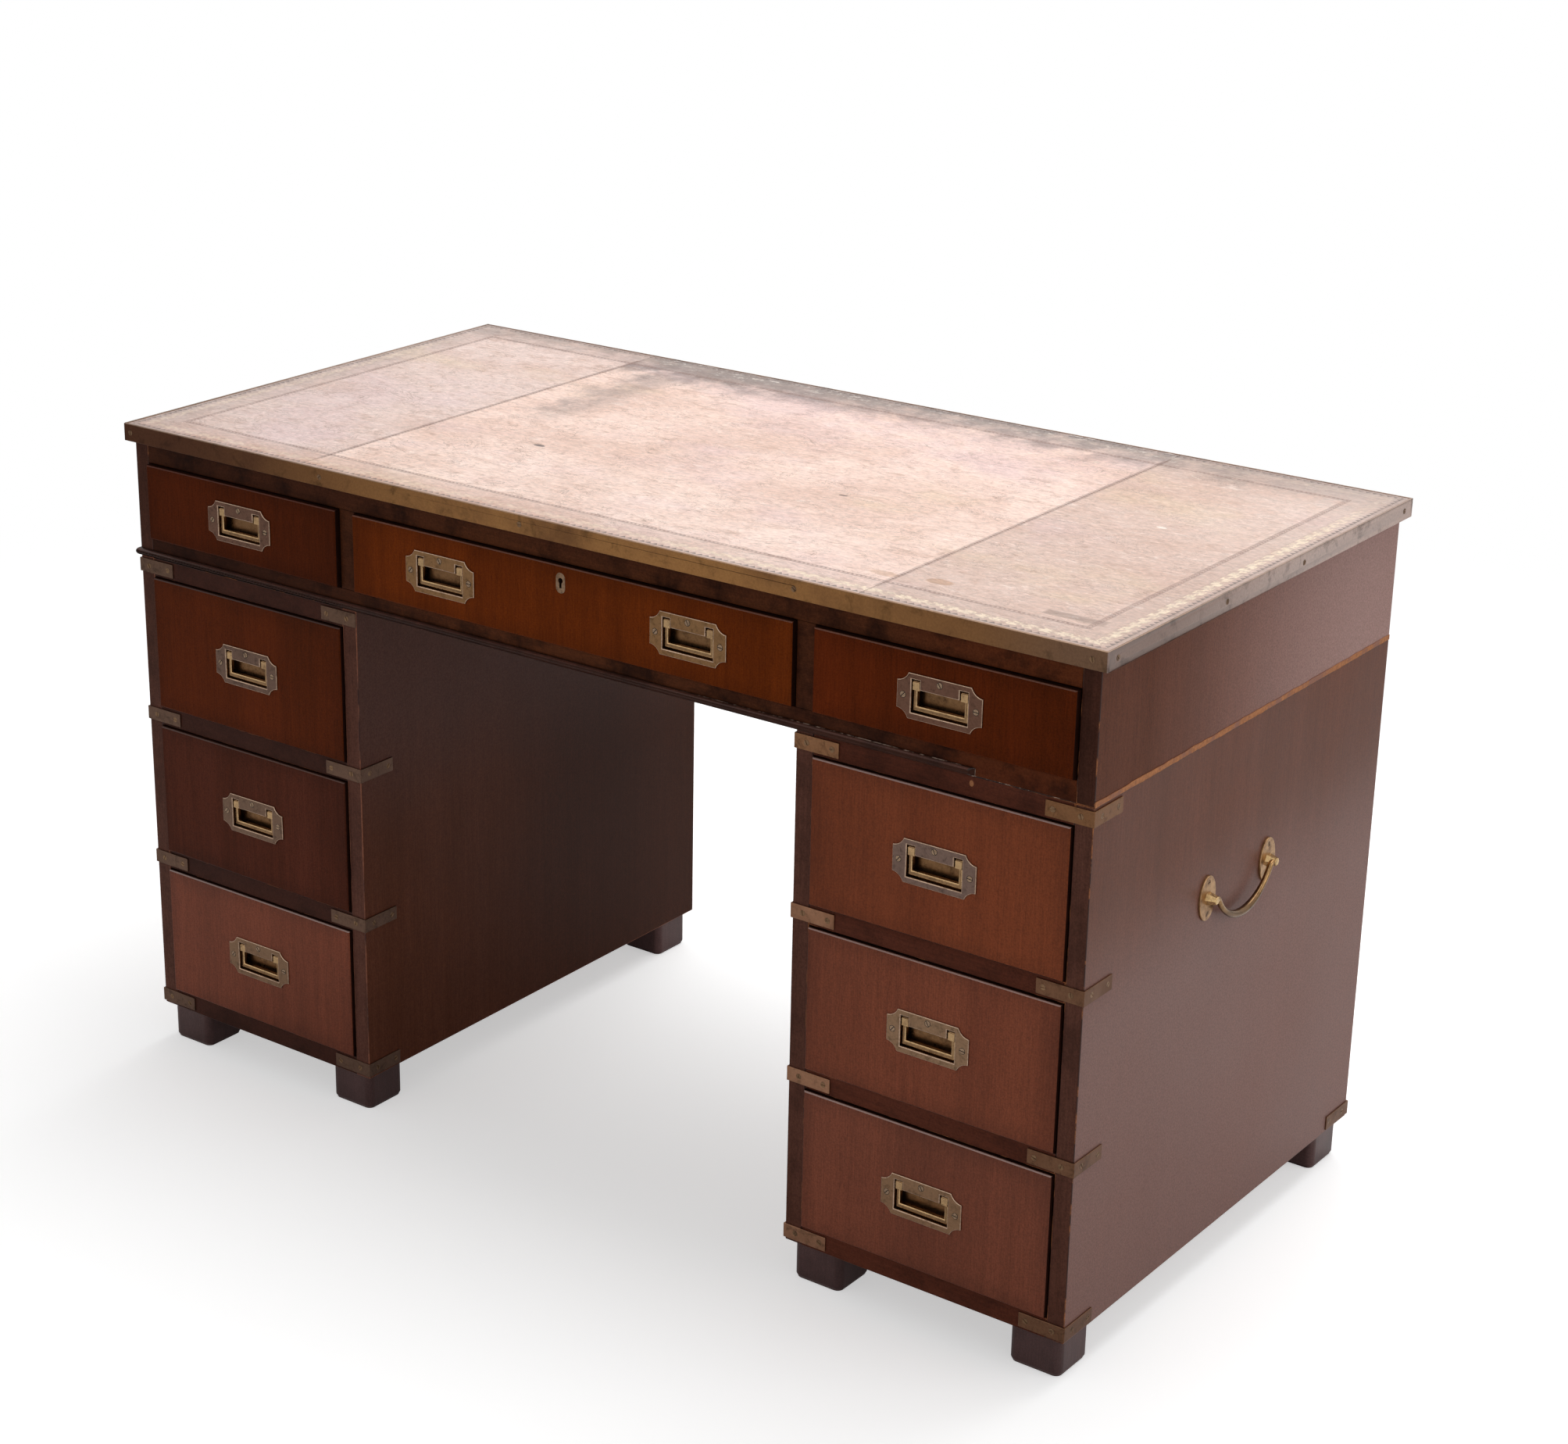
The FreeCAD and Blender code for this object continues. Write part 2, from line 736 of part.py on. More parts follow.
def carry_plates(side):
    """Two oval plates, each with a post bored for the bail's end."""
    solids = []
    for y in carry_posts():
        oval = Part.Ellipse(Vector(0, 0, 0), carry_plate_height / 2, carry_plate_width / 2).toShape()
        plate = Part.Face(Part.Wire([oval])).extrude(UP * carry_plate_thickness)
        post = Part.makeCone(carry_post_base_radius, carry_post_tip_radius, carry_post_length,
                             Vector(0, 0, carry_plate_thickness))
        solid = placed(fused([plate, post]), Vector(side * case_side, y, carry_height), RIGHT * side)
        bore = Part.makeCylinder(carry_rod_radius + carry_rod_clearance, carry_plate_width,
                                 Vector(carry_axis(side), y - carry_plate_width / 2, carry_height), BACKWARD)
        solids.append(drilled(solid.cut(bore), carry_screws(side)))
    return solids


def carry_bail(side):
    """A round rod between the posts that drops in a U and swells in the middle of the grip."""
    x = carry_axis(side)
    middle = -desk_depth / 2 + carry_setback
    half = carry_spacing / 2
    end = half + carry_post_base_radius + carry_rod_overhang
    bend = half - carry_post_base_radius - carry_bend_gap
    leg = bend - carry_upper_bend
    leg_top = carry_height - carry_upper_bend
    leg_foot = leg_top - carry_drop_run
    grip = leg - carry_lower_bend
    grip_z = leg_foot - carry_lower_bend
    diagonal = math.sqrt(0.5)
    upper_mid = (bend - carry_upper_bend * diagonal, leg_top + carry_upper_bend * diagonal)
    lower_mid = (grip + carry_lower_bend * diagonal, leg_foot - carry_lower_bend * diagonal)

    def at(y, z, end_side):
        return Vector(x, middle + end_side * y, z)

    def half_path(s):
        return [Part.LineSegment(at(end, carry_height, s), at(bend, carry_height, s)),
                Part.Arc(at(bend, carry_height, s), at(*upper_mid, s), at(leg, leg_top, s)),
                Part.LineSegment(at(leg, leg_top, s), at(leg, leg_foot, s)),
                Part.Arc(at(leg, leg_foot, s), at(*lower_mid, s), at(grip, grip_z, s))]

    path = half_path(1) + [Part.LineSegment(at(grip, grip_z, 1), at(grip, grip_z, -1))]
    path += list(reversed(half_path(-1)))
    wire = Part.Wire(Part.__sortEdges__([curve.toShape() for curve in path]))
    ring = Part.Wire([Part.Circle(at(end, carry_height, 1), BACKWARD, carry_rod_radius).toShape()])
    rod = wire.makePipeShell([ring], True, False)
    low = Vector(x, middle - grip, grip_z - carry_rod_radius - carry_swell_step)
    top = Vector(x, middle, grip_z - carry_rod_radius - carry_swell)
    high = Vector(x, middle + grip, grip_z - carry_rod_radius - carry_swell_step)
    axis = [Vector(x, middle + grip, grip_z), Vector(x, middle - grip, grip_z)]
    outline = [Part.Arc(low, top, high).toShape(), Part.makePolygon([high] + axis + [low])]
    swell = Part.Face(Part.Wire(Part.__sortEdges__(outline[:1] + outline[1].Edges)))
    return fused([rod, swell.revolve(axis[0], BACKWARD)])


def build():
    os.makedirs("parts", exist_ok=True)
    sides = ((-1, "left"), (1, "right"))
    top = top_bays()
    centre = top[0]
    pedestal = {name: pedestal_bays_of(side, name) for side, name in sides}
    bays = top + pedestal["left"] + pedestal["right"]
    corners = {name: strap_corners(side) for side, name in sides}
    frame_screws = band_screws()
    for side, name in sides:
        frame_screws += [s for corner in corners[name] for s in strap_screws(corner)]
        frame_screws += carry_screws(side)

    def frame(name, solids):
        save(name, [drilled(solid, frame_screws) for solid in solids])

    save("writing_leather", leather_skins())
    frame("top_board", [top_board()])
    frame("edge_band", band_strips())
    frame("case_end_panels", end_panels())
    save("case_back_panel", [case_back_panel()])
    save("case_front_frame", front_frame(centre))
    save("case_insides", case_insides(top))
    save("block_feet", feet())
    save("brass_screws", made_screws(frame_screws))
    for side, name in sides:
        frame(f"{name}_pedestal_sides", pedestal_sides(side))
        frame(f"{name}_pedestal_boards", pedestal_boards(side))
        frame(f"{name}_pedestal_rails", pedestal_rails(side, pedestal[name]))
        frame(f"{name}_corner_straps", [strap(corner) for corner in corners[name]])
        save(f"{name}_carry_plates", carry_plates(side))
        save(f"{name}_carry_bail", [carry_bail(side)])
    for bay in bays:
        save(f"{bay.name}_front", [locked_front(bay) if bay is centre else drawer_front(bay)])
        save(f"{bay.name}_box", drawer_box(bay))
        save(f"{bay.name}_pull_plate", [solid for pull in bay.pulls for solid in pull_plate(pull)])
        for pull in bay.pulls:
            which = "" if len(bay.pulls) == 1 else ("_left" if pull.x < 0 else "_right")
            save(f"{bay.name}{which}_pull_bail", [pull_bail(pull)])
    save("drawer_lock", lock_pieces(centre))
    low, high = bolt_span(centre)
    save("lock_bolt", [bolt_space(centre, 0, low, high)])


build()
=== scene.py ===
"""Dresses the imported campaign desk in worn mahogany, aged brass and tooled leather."""

import functools
import json
import math

import bmesh
import bpy
from mathutils import Matrix, Vector, noise


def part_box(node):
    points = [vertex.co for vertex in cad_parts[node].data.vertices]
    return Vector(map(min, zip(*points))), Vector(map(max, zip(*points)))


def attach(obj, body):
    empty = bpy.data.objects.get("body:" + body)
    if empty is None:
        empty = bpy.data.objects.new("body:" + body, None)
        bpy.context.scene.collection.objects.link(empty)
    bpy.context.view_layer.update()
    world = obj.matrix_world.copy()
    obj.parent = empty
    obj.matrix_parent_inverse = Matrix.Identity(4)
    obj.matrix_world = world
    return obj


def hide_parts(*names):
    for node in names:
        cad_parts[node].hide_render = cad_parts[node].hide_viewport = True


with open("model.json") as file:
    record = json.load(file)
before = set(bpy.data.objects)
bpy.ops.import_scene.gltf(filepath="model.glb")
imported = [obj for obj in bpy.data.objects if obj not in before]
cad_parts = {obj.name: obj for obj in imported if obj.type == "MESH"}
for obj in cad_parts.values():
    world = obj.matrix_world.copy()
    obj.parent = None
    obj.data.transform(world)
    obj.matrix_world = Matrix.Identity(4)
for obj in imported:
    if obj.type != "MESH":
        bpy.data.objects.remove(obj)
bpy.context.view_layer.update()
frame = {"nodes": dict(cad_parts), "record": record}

bl_info = {
    "name": "Campaign desk",
    "version": (1, 0, 0),
    "blender": (4, 5, 0),
    "location": "View3D > Sidebar > Desk",
    "description": "Dresses a campaign desk in worn mahogany, aged brass and tooled leather",
    "category": "Object",
}

NODES = frame["nodes"]
BODY_OF = {n: b for b, ns in frame["record"]["behaviour"]["bodies"].items() for n in ns}
BAYS = ("top_left", "top_centre", "top_right", "left_upper", "left_middle", "left_lower",
        "right_upper", "right_middle", "right_lower")
SIDES = ("left", "right")
SEAM = 0.363  # the leather's two seams, from the middle of the desk
PLATE_HALF = 0.016  # half the width of a carrying handle's plate

# Shader nodes by the job they do here: type, settings, input sockets in the order given, and the output socket.
KINDS = {
    "object place": ("ShaderNodeTexCoord", {}, (), "Object"),
    "x": ("ShaderNodeSeparateXYZ", {}, (0,), 0),
    "y": ("ShaderNodeSeparateXYZ", {}, (0,), 1),
    "z": ("ShaderNodeSeparateXYZ", {}, (0,), 2),
    "spread": ("ShaderNodeMapping", {}, ("Vector", "Scale", "Location"), 0),
    "noise": ("ShaderNodeTexNoise", {}, ("Vector", "Scale", "Detail", "Roughness", "Distortion"), 0),
    "range": ("ShaderNodeMapRange", {}, range(5), 0),
    "ramp": ("ShaderNodeMapRange", {"interpolation_type": "SMOOTHSTEP"}, range(5), 0),
    "layer": ("ShaderNodeMix", {"data_type": "RGBA"}, (0, 6, 7), 2),
    "choice": ("ShaderNodeMix", {"data_type": "FLOAT"}, (0, 2, 3), 0),
    "tone": ("ShaderNodeVectorMath", {"operation": "SCALE"}, (0, "Scale"), 0),
    "length": ("ShaderNodeVectorMath", {"operation": "LENGTH"}, (0,), "Value"),
    "relief": ("ShaderNodeBump", {}, ("Height", "Strength", "Distance"), 0),
    "sunk relief": ("ShaderNodeBump", {"invert": True}, ("Height", "Strength", "Distance"), 0),
    "camera ray": ("ShaderNodeLightPath", {}, (), "Is Camera Ray"),
    "glossy ray": ("ShaderNodeLightPath", {}, (), "Is Glossy Ray"),
    "clear ray": ("ShaderNodeLightPath", {}, (), "Is Transmission Ray"),
    "glow": ("ShaderNodeEmission", {}, ("Color", "Strength"), 0),
    "either shader": ("ShaderNodeMixShader", {}, range(3), 0),
    **{name: ("ShaderNodeMath", {"operation": name.upper().replace(" ", "_")}, range(3), 0) for name in (
        "add", "subtract", "multiply", "multiply add", "absolute", "minimum", "maximum", "smooth min",
        "less than", "greater than", "pingpong")},
}


def linear(code):
    """An sRGB hex colour as linear red, green, blue and alpha."""
    parts = [int(code[i:i + 2], 16) / 255 for i in (1, 3, 5)]
    return tuple(p / 12.92 if p <= 0.04045 else ((p + 0.055) / 1.055) ** 2.4 for p in parts) + (1.0,)


def darker(code, share):
    """A share of an sRGB hex colour's light, as linear values."""
    return tuple(share * part for part in linear(code)[:3]) + (1.0,)


def size_property(name, text, metres):
    """A length that a user may change."""
    return bpy.props.FloatProperty(name=name, description=text, default=metres, min=0.0, precision=5, unit="LENGTH")


def colour_property(name, text, code):
    """A colour that a user may change."""
    return bpy.props.FloatVectorProperty(
        name=name, description=text, default=linear(code), size=4, min=0.0, max=1.0, subtype="COLOR")


class DeskSizes(bpy.types.PropertyGroup):
    """Small sizes that the solids leave to the looks."""
    board_edge: size_property("Board edge", "How far the boards' edges are rubbed round", 0.0009)
    front_edge: size_property("Front edge", "How far back the drawer fronts' rounded edges reach", 0.0024)
    foot_edge: size_property("Foot edge", "Rounding of the block feet", 0.0014)
    strap_edge: size_property("Strap edge", "Rounding of the straps and the band", 0.0005)
    leather_edge: size_property("Leather edge", "Rounding of the leather's cut edges", 0.0006)
    leather_swell: size_property("Leather swell", "How far the laid leather rises and falls", 0.00025)
    zigzag_in: size_property("Zigzag line", "From the leather's outer edge to the blind zigzag line", 0.0045)
    gilt_in: size_property("Gilt band", "From the leather's outer edge to the middle of the gilt band", 0.0180)
    gilt_width: size_property("Gilt band width", "Width of the gilt band", 0.0125)
    rope_in: size_property("Rope line", "From the leather's outer edge to the blind rope line", 0.0475)
    pull_width: size_property("Pull width", "Width of a pull's plate", 0.095)
    pull_height: size_property("Pull height", "Height of a pull's plate", 0.046)
    pull_lip: size_property("Pull lip", "Rounding of the plate's window", 0.0010)
    pull_rim: size_property("Pull rim", "Rounding of the plate's outline", 0.0007)
    well_width: size_property("Well width", "Width of a pull's well", 0.063)
    well_depth: size_property("Well depth", "Depth of a pull's well behind the plate's face", 0.012)
    screw_radius: size_property("Screw head", "Radius of a pull screw's head", 0.003)
    handle_plate: size_property("Handle plate", "Thickness of a carrying handle's plate", 0.0025)
    post_length: size_property("Post", "How far a carrying handle's post stands off its plate", 0.0112)
    rod_radius: size_property("Rod", "Radius of the carrying handle's rod at its ends", 0.0031)
    rod_drop: size_property("Rod drop", "How far the carrying handle hangs below its posts", 0.033)
    scar_height: size_property("Bead scar", "Height of the bare strip where the base bead is lost", 0.0058)


class DeskFinishes(bpy.types.PropertyGroup):
    """Main colours of the finishes."""
    veneer_pale: colour_property("Pale veneer", "Pale bands of the mahogany veneer", "#70402c")
    veneer_deep: colour_property("Deep veneer", "Deep bands of the mahogany veneer", "#663823")
    rail_pale: colour_property("Pale rail", "Pale bands of the pedestals' rails", "#6f3b2b")
    rail_deep: colour_property("Deep rail", "Deep bands of the pedestals' rails", "#512719")
    bare_wood: colour_property("Bare wood", "Mahogany where the polish is worn through", "#a8683f")
    lining_pale: colour_property("Pale lining", "Pale bands of the drawer linings", "#b58a5a")
    lining_deep: colour_property("Deep lining", "Deep bands of the drawer linings", "#8a6038")
    # The middle leather's colour is paler than its dye, a painted sheen.
    leather_sheen_pink: colour_property("Middle leather", "Faded leather of the middle skin", "#ecccbd")
    leather_khaki: colour_property("Right leather", "Leather of the right-hand skin", "#cdae9f")
    gilt: colour_property("Gilt", "Worn gilding of the tooled band", "#ecd9bd")


def add_node(tree, kind, *inputs):
    """Adds a shader node of one of the kinds above and gives its output. Inputs are links, values or hex colours."""
    node_type, settings, sockets, output = KINDS[kind]
    made = tree.nodes.new(node_type)
    for name, value in settings.items():
        setattr(made, name, value)
    for socket, value in zip(sockets, inputs):
        if isinstance(value, bpy.types.NodeSocket):
            tree.links.new(value, made.inputs[socket])
        else:
            made.inputs[socket].default_value = linear(value) if isinstance(value, str) else value
    return made.outputs[output]


def start_material(name, constants):
    """A new material with its shader's constant sockets set, what adds its nodes, its shader and its coordinates."""
    material = bpy.data.materials.new(name)
    material.use_nodes = True
    add = functools.partial(add_node, material.node_tree)
    shader = material.node_tree.nodes["Principled BSDF"]
    for socket, value in constants.items():
        shader.inputs[socket].default_value = value
    return material, add, shader, add("object place")


def finish_material(material, shader, body, rough, normal=None):
    """Links a material's colour, roughness and relief to its shader."""
    for socket, output in (("Base Color", body), ("Roughness", rough), ("Normal", normal)):
        if output:
            material.node_tree.links.new(output, shader.inputs[socket])


def lay_fades(add, place, body, fades):
    """Lays soft changes of colour over a body colour, each along an axis from a start to an end."""
    for axis, start, end, code, share in fades:
        amount = add("ramp", add(axis, place), start, end, 0.0, share)
        body = add("layer", amount, body, code)
    return body


def timber(name, pale, deep, run="Z", shift=0.0, satin=0.38, shine=0.5, coat=0.1, pores=0.17, grime=0.0, rim=None,
           fades=()):
    """Polished timber with its grain along one axis.

    Mahogany veneer under old shellac: faint ribbons about 45 mm apart, streaks, short dark pores and a satin
    gloss that is uneven from handling. The fibres are really about 0.3 mm, the pores 0.2 mm wide and the cells of
    the crazed polish 0.5 mm, and are drawn at 1.7, 1.4 and 1.8 mm so that they show. The colour darkens along the
    rim of a drawer front, whose corners are rim, as painted shade, and changes along the axes given as fades, some
    of which are painted reflection and painted shade.
    """
    material, add, shader, place = start_material(name, {
        "Specular IOR Level": shine, "Specular Tint": linear("#ffdcd4"), "Coat Weight": coat, "Coat Roughness": 0.28})
    fields = []
    for across, along, detail in ((0.045, 0.6, 3.0), (0.007, 0.25, 3.0), (0.0017, 0.05, 3.0), (0.0014, 0.011, 1.0)):
        scale = tuple(1 / along if axis == run else 1 / across for axis in "XYZ")
        spot = add("spread", place, scale, (shift, shift * 1.7, shift * 0.6))
        fields.append(add("noise", spot, 1.0, detail, 0.55, 0.2))
    ribbon, streak, fibre, pore = fields
    body = add("layer", add("range", ribbon, 0.3, 0.72), deep, pale)
    for field, least, most in ((streak, 0.93, 1.06), (fibre, 0.88, 1.11)):
        body = add("tone", body, add("range", field, 0.3, 0.7, least, most))
    cloud = add("noise", place, 3.6, 4.0, 0.6)
    body = add("tone", body, add("range", cloud, 0.3, 0.7, 0.88, 1.1))
    open_pores = add("range", pore, 0.52, 0.68, 0.0, pores)
    body = add("layer", open_pores, body, "#220d06")
    body = lay_fades(add, place, body, fades)
    craze = add("noise", place, 1 / 0.0018, 2.0, 0.6)
    body = add("tone", body, add("range", craze, 0.3, 0.7, 0.80, 1.20))
    if grime:
        dirt = add("noise", place, 22.0, 5.0, 0.65)
        body = add("layer", add("range", dirt, 0.46, 0.66, 0.0, grime), body, "#180a07")
    # Painted shade: the colour darkens towards the rim of a drawer front.
    if rim:
        near = None
        for i, corner in enumerate(reversed(rim)):
            for axis in "xz":
                painted_highlight_edge, spot = getattr(corner, axis), add(axis, place)
                gap = add("subtract", *((painted_highlight_edge, spot) if i == 0 else (spot, painted_highlight_edge)))
                near = add("smooth min", near, gap, 0.01) if near else gap
        ragged = add("multiply add", cloud, 0.03, near)
        body = add("tone", body, add("ramp", ragged, 0.01, 0.04, 0.76, 1.0))
    gloss = add("range", cloud, 0.3, 0.7, satin - 0.05, satin + 0.07)
    normal = add("sunk relief", add("add", fibre, open_pores), 0.14, 0.0004)
    finish_material(material, shader, body, gloss, normal)
    return material


def bare_timber(name, bare, polished, share=0.5, run=0.03, sound=None):
    """Mahogany edge rubbed through its polish: dull bare wood in broken runs up to a length, between polished ones.
    It is still sound to the left of an x, where one is given."""
    material, add, shader, place = start_material(name, {"Specular IOR Level": 0.3})
    runs = add("noise", place, 1 / run, 5.0, 0.65)
    worn = add("range", runs, 0.62 - 0.24 * share, 0.72 - 0.24 * share)
    if sound is not None:
        worn = add("multiply", worn, add("ramp", add("x", place), sound, sound + 0.2))
    fibre = add("noise", place, 260.0, 3.0)
    raw = add("tone", bare[:3], add("range", fibre, 0.3, 0.7, 0.72, 1.15))
    body = add("layer", worn, polished, raw)
    finish_material(material, shader, body, add("range", worn, 0.0, 1.0, 0.34, 0.75))
    return material


def aged_brass(name, bright, brown, tarnish=0.5, satin=0.3, patch=0.03, fades=()):
    """Aged brass, rolled or cast and long handled: warm metal where rubbed, brown tarnish in soft clouds, dark specks
    of old polish, and scuffs that are really hairlines, drawn 2.5 mm wide so that they show. Fades lay colour
    along axes; some of them are painted reflection and painted highlight."""
    material, add, shader, place = start_material(name, {"Metallic": 1.0})
    cloud = add("noise", place, 1 / patch, 6.0, 0.62)
    browned = add("ramp", cloud, 0.65 - 0.5 * tarnish, 1.05 - 0.5 * tarnish)
    scuff = add("noise", place, 400.0, 3.0, 0.6)
    body = lay_fades(add, place, add("layer", browned, bright, brown), fades)
    specks = add("noise", place, 3.4 / patch, 5.0, 0.7, 0.5)
    body = add("tone", body, add("ramp", specks, 0.5, 0.7, 1.04, 0.62))
    body = add("tone", body, add("range", scuff, 0.3, 0.7, 0.86, 1.1))
    dull = add("range", browned, 0.0, 1.0, satin, satin + 0.16)
    rough = add("multiply add", scuff, 0.14, dull)
    finish_material(material, shader, body, rough, add("relief", scuff, 0.12, 0.0004))
    return material


def tooled_leather(name, sizes, finishes):
    """Hide skiver, dyed, tooled and faded by light: crushed grain running along the desk, blind zigzag teeth,
    a worn gilt band and a blind rope line round the border, grey-brown handling marks and a satin sheen.
    The hide's pebbles are really 0.6 mm and its hair creases 0.2 mm, and are drawn at 4 and 2 mm so that they show."""
    material, add, shader, place = start_material(name, {
        "Specular IOR Level": 0.5, "Sheen Weight": 0.12, "Sheen Roughness": 0.45, "Sheen Tint": linear("#fff8f3")})
    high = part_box("writing_leather")[1]
    x, y = add("x", place), add("y", place)
    from_end = add("subtract", high.x, add("absolute", x))
    from_long = add("subtract", high.y, add("absolute", y))
    inward = add("minimum", from_end, from_long)
    along = add("choice", add("less than", from_end, from_long), x, y)

    # The hide's own texture, from pebbles and hair creases up to the marks of hands.
    pebble, crush, hair, cloud, hue, wear = (
        add("noise", add("spread", place, (across, along_y, along_y)), 1.0, detail, rough, twist)
        for across, along_y, detail, rough, twist in (
            (130.0, 250.0, 4.0, 0.6, 0.8), (32.0, 76.0, 7.0, 0.7, 1.2), (60.0, 300.0, 4.0, 0.65, 1.0),
            (5.5, 7.5, 6.0, 0.62, 0.0), (3.1, 4.7, 4.0, 0.6, 0.0), (26.0, 26.0, 5.0, 0.7, 0.0)))

    # Three skins of one dye that have faded differently. The middle one is lilac and dark at the back, and its colour
    # is paler than its dye, a painted sheen.
    ragged = add("multiply add", wear, 0.08, -0.04)
    ragged_x, ragged_y = add("add", x, ragged), add("add", y, ragged)

    def lay_washes(body, washes):
        """Lays washes of colour, each where two soft edges meet and as far as the wear lets it."""
        for (field, start, end), (across, first, last), (least, most), code in washes:
            wash = add("multiply", add("ramp", field, start, end), add("ramp", across, first, last))
            wash = add("multiply", wash, add("ramp", wear, 0.3, 0.6, least, most))
            body = add("layer", wash, body, code)
        return body

    body = lay_washes(finishes.leather_sheen_pink, (
        ((ragged_y, 0.02, 0.24), (ragged_x, -0.2, 0.05), (0.00, 0.30), "#cdaab4"),
        ((ragged_y, 0.20, 0.28), (ragged_x, 0.06, -0.24), (0.45, 0.95), "#4a3b36"),
        ((ragged_y, -0.04, -0.22), (ragged_x, 0.34, 0.14), (0.25, 0.55), "#f8dfd2")))
    half_seam = 0.0005
    for side, colour in ((1, finishes.leather_khaki), (-1, "#dcc2b8")):
        beyond = add("ramp", x, side * (SEAM - half_seam), side * (SEAM + half_seam))
        body = add("layer", beyond, body, colour)
    for field, start, end, share, code in (
            (cloud, 0.42, 0.66, 0.42, "#bd927c"), (cloud, 0.40, 0.26, 0.35, "#e9cfc4"),
            (crush, 0.50, 0.74, 0.70, "#a9836e"), (crush, 0.44, 0.28, 0.60, "#f3e0d5"),
            (hair, 0.56, 0.74, 0.50, "#9c7a68"), (hair, 0.42, 0.28, 0.45, "#f6e6dc"),
            (hue, 0.52, 0.68, 0.28, "#c7a9b4"), (hue, 0.46, 0.32, 0.35, "#dcc49c")):
        body = add("layer", add("ramp", field, start, end, 0.0, share), body, code)
    worn_through = add("ramp", wear, 0.4, 0.6)
    for across, along_y, share in ((9.0, 15.0, 0.6), (17.0, 21.0, 0.5), (30.0, 52.0, 0.45)):
        fold = add("noise", add("spread", place, (across, along_y, along_y)), 1.0, 5.0, 0.7, 1.2)
        fold = add("absolute", add("subtract", fold, 0.5))
        crease = add("multiply", add("ramp", fold, 0.009, 0.002, 0.0, share), worn_through)
        body = add("layer", crease, body, "#8e6d5c")

    # Handling marks, of which one is a smear by the left seam.
    off_smear = add("absolute", add("add", ragged_x, 0.292))
    body = lay_washes(body, (
        ((ragged_y, 0.205, 0.315), (x, -0.35, -0.28), (0.35, 0.85), "#5e4b45"),
        ((off_smear, 0.050, 0.006), (ragged_y, -0.04, 0.06), (0.25, 0.62), "#7c6862"),
        ((ragged_y, 0.245, 0.312), (x, 0.40, 0.34), (0.20, 0.60), "#54443f"),
        ((ragged_y, -0.255, -0.31), (x, 0.28, -0.1), (0.20, 0.75), "#b8764e"),
        ((ragged_x, -0.44, -0.62), (ragged_y, 0.30, -0.25), (0.10, 0.40), "#a88f86"),
        ((ragged_x, 0.42, 0.60), (ragged_y, -0.1, 0.2), (0.05, 0.40), "#e6d2c8")))
    for spot_x, spot_y, wide, deep, share, code in (
            (-0.2094, -0.0944, 0.009, 0.004, 0.95, "#4a352c"), (0.1647, -0.0472, 0.006, 0.003, 0.9, "#6a4a38"),
            (0.4057, -0.2335, 0.016, 0.008, 0.6, "#a8764a"), (0.3455, -0.2438, 0.020, 0.008, 0.45, "#ab7c50"),
            (0.4813, 0.0582, 0.006, 0.003, 0.7, "#f4ece2")):
        off = add("spread", place, (1 / wide, 1 / deep, 0.0), (-spot_x / wide, -spot_y / deep, 0.0))
        far = add("add", add("length", off), add("multiply add", wear, 1.4, -0.7))
        body = add("layer", add("ramp", far, 1.05, 0.75, 0.0, share), body, code)
    oblong_x = add("absolute", add("subtract", x, 0.561))
    oblong_y = add("absolute", add("subtract", y, -0.2463))
    for half_x, half_y, share in ((0.034, 0.0085, 0.35), (0.032, 0.0060, 0.35)):
        inside = add("multiply", add("ramp", oblong_x, half_x, half_x - 0.002, 0.0, share),
                     add("ramp", oblong_y, half_y, half_y - 0.002))
        body = add("layer", inside, body, "#6b4a34")
    flakes = add("multiply", add("ramp", crush, 0.56, 0.66, 0.0, 0.4), add("ramp", ragged_y, 0.14, 0.24))
    flakes = add("multiply", flakes, add("ramp", ragged_x, 0.02, 0.2))
    body = add("layer", flakes, body, "#f1e4d6")

    # The border's tooling, all round the top as one: teeth, the gilt band, and the rope line, which the seams share.
    for start, end, share, code in ((0.050, 0.044, 0.30, "#b0968a"), (0.012, 0.001, 0.50, "#947b70")):
        body = add("layer", add("ramp", inward, start, end, 0.0, share), body, code)
    dull_back = add("multiply", add("ramp", y, 0.2, 0.3), add("ramp", x, 0.38, 0.34, 0.2, 1.0))
    dull_back = add("multiply", dull_back, add("ramp", x, -0.36, -0.33, 0.15, 1.0))
    dull_side = add("maximum", add("ramp", x, -0.5, -0.6, 0.0, 0.4), dull_back)
    dingy = add("multiply", add("ramp", inward, 0.05, 0.012), dull_side)
    dingy = add("multiply", dingy, add("ramp", wear, 0.3, 0.62, 0.25, 0.85))
    body = add("layer", dingy, body, "#786963")
    flecks = add("noise", add("spread", place, (90.0, 160.0, 160.0)), 1.0, 5.0, 0.7)
    flecks = add("multiply", add("ramp", flecks, 0.54, 0.64, 0.0, 0.75), dingy)
    body = add("layer", flecks, body, "#e4d8cf")
    kept = add("multiply", add("ramp", x, -0.1, 0.42, 0.4, 1.0), add("ramp", y, 0.12, 0.28, 1.0, 0.15))
    from_spine = add("subtract", inward, sizes.gilt_in)
    off_spine = add("absolute", from_spine)
    half_band = sizes.gilt_width / 2
    ground = add("multiply", add("ramp", off_spine, half_band + 0.002, half_band, 0.0, 0.4), kept)
    body = add("layer", ground, body, "#b0927f")
    lower = add("multiply", add("less than", from_spine, 0.0), 0.0075)
    slant = add("add", add("multiply add", from_spine, 0.55, along), lower)
    slant = add("multiply add", wear, 0.016, slant)
    bars = add("ramp", add("pingpong", slant, 0.0088), 0.0018, 0.0042)
    spine = add("ramp", off_spine, 0.0022, 0.0010)
    key = add("multiply", add("maximum", bars, spine), add("ramp", off_spine, half_band, half_band - 0.0012))
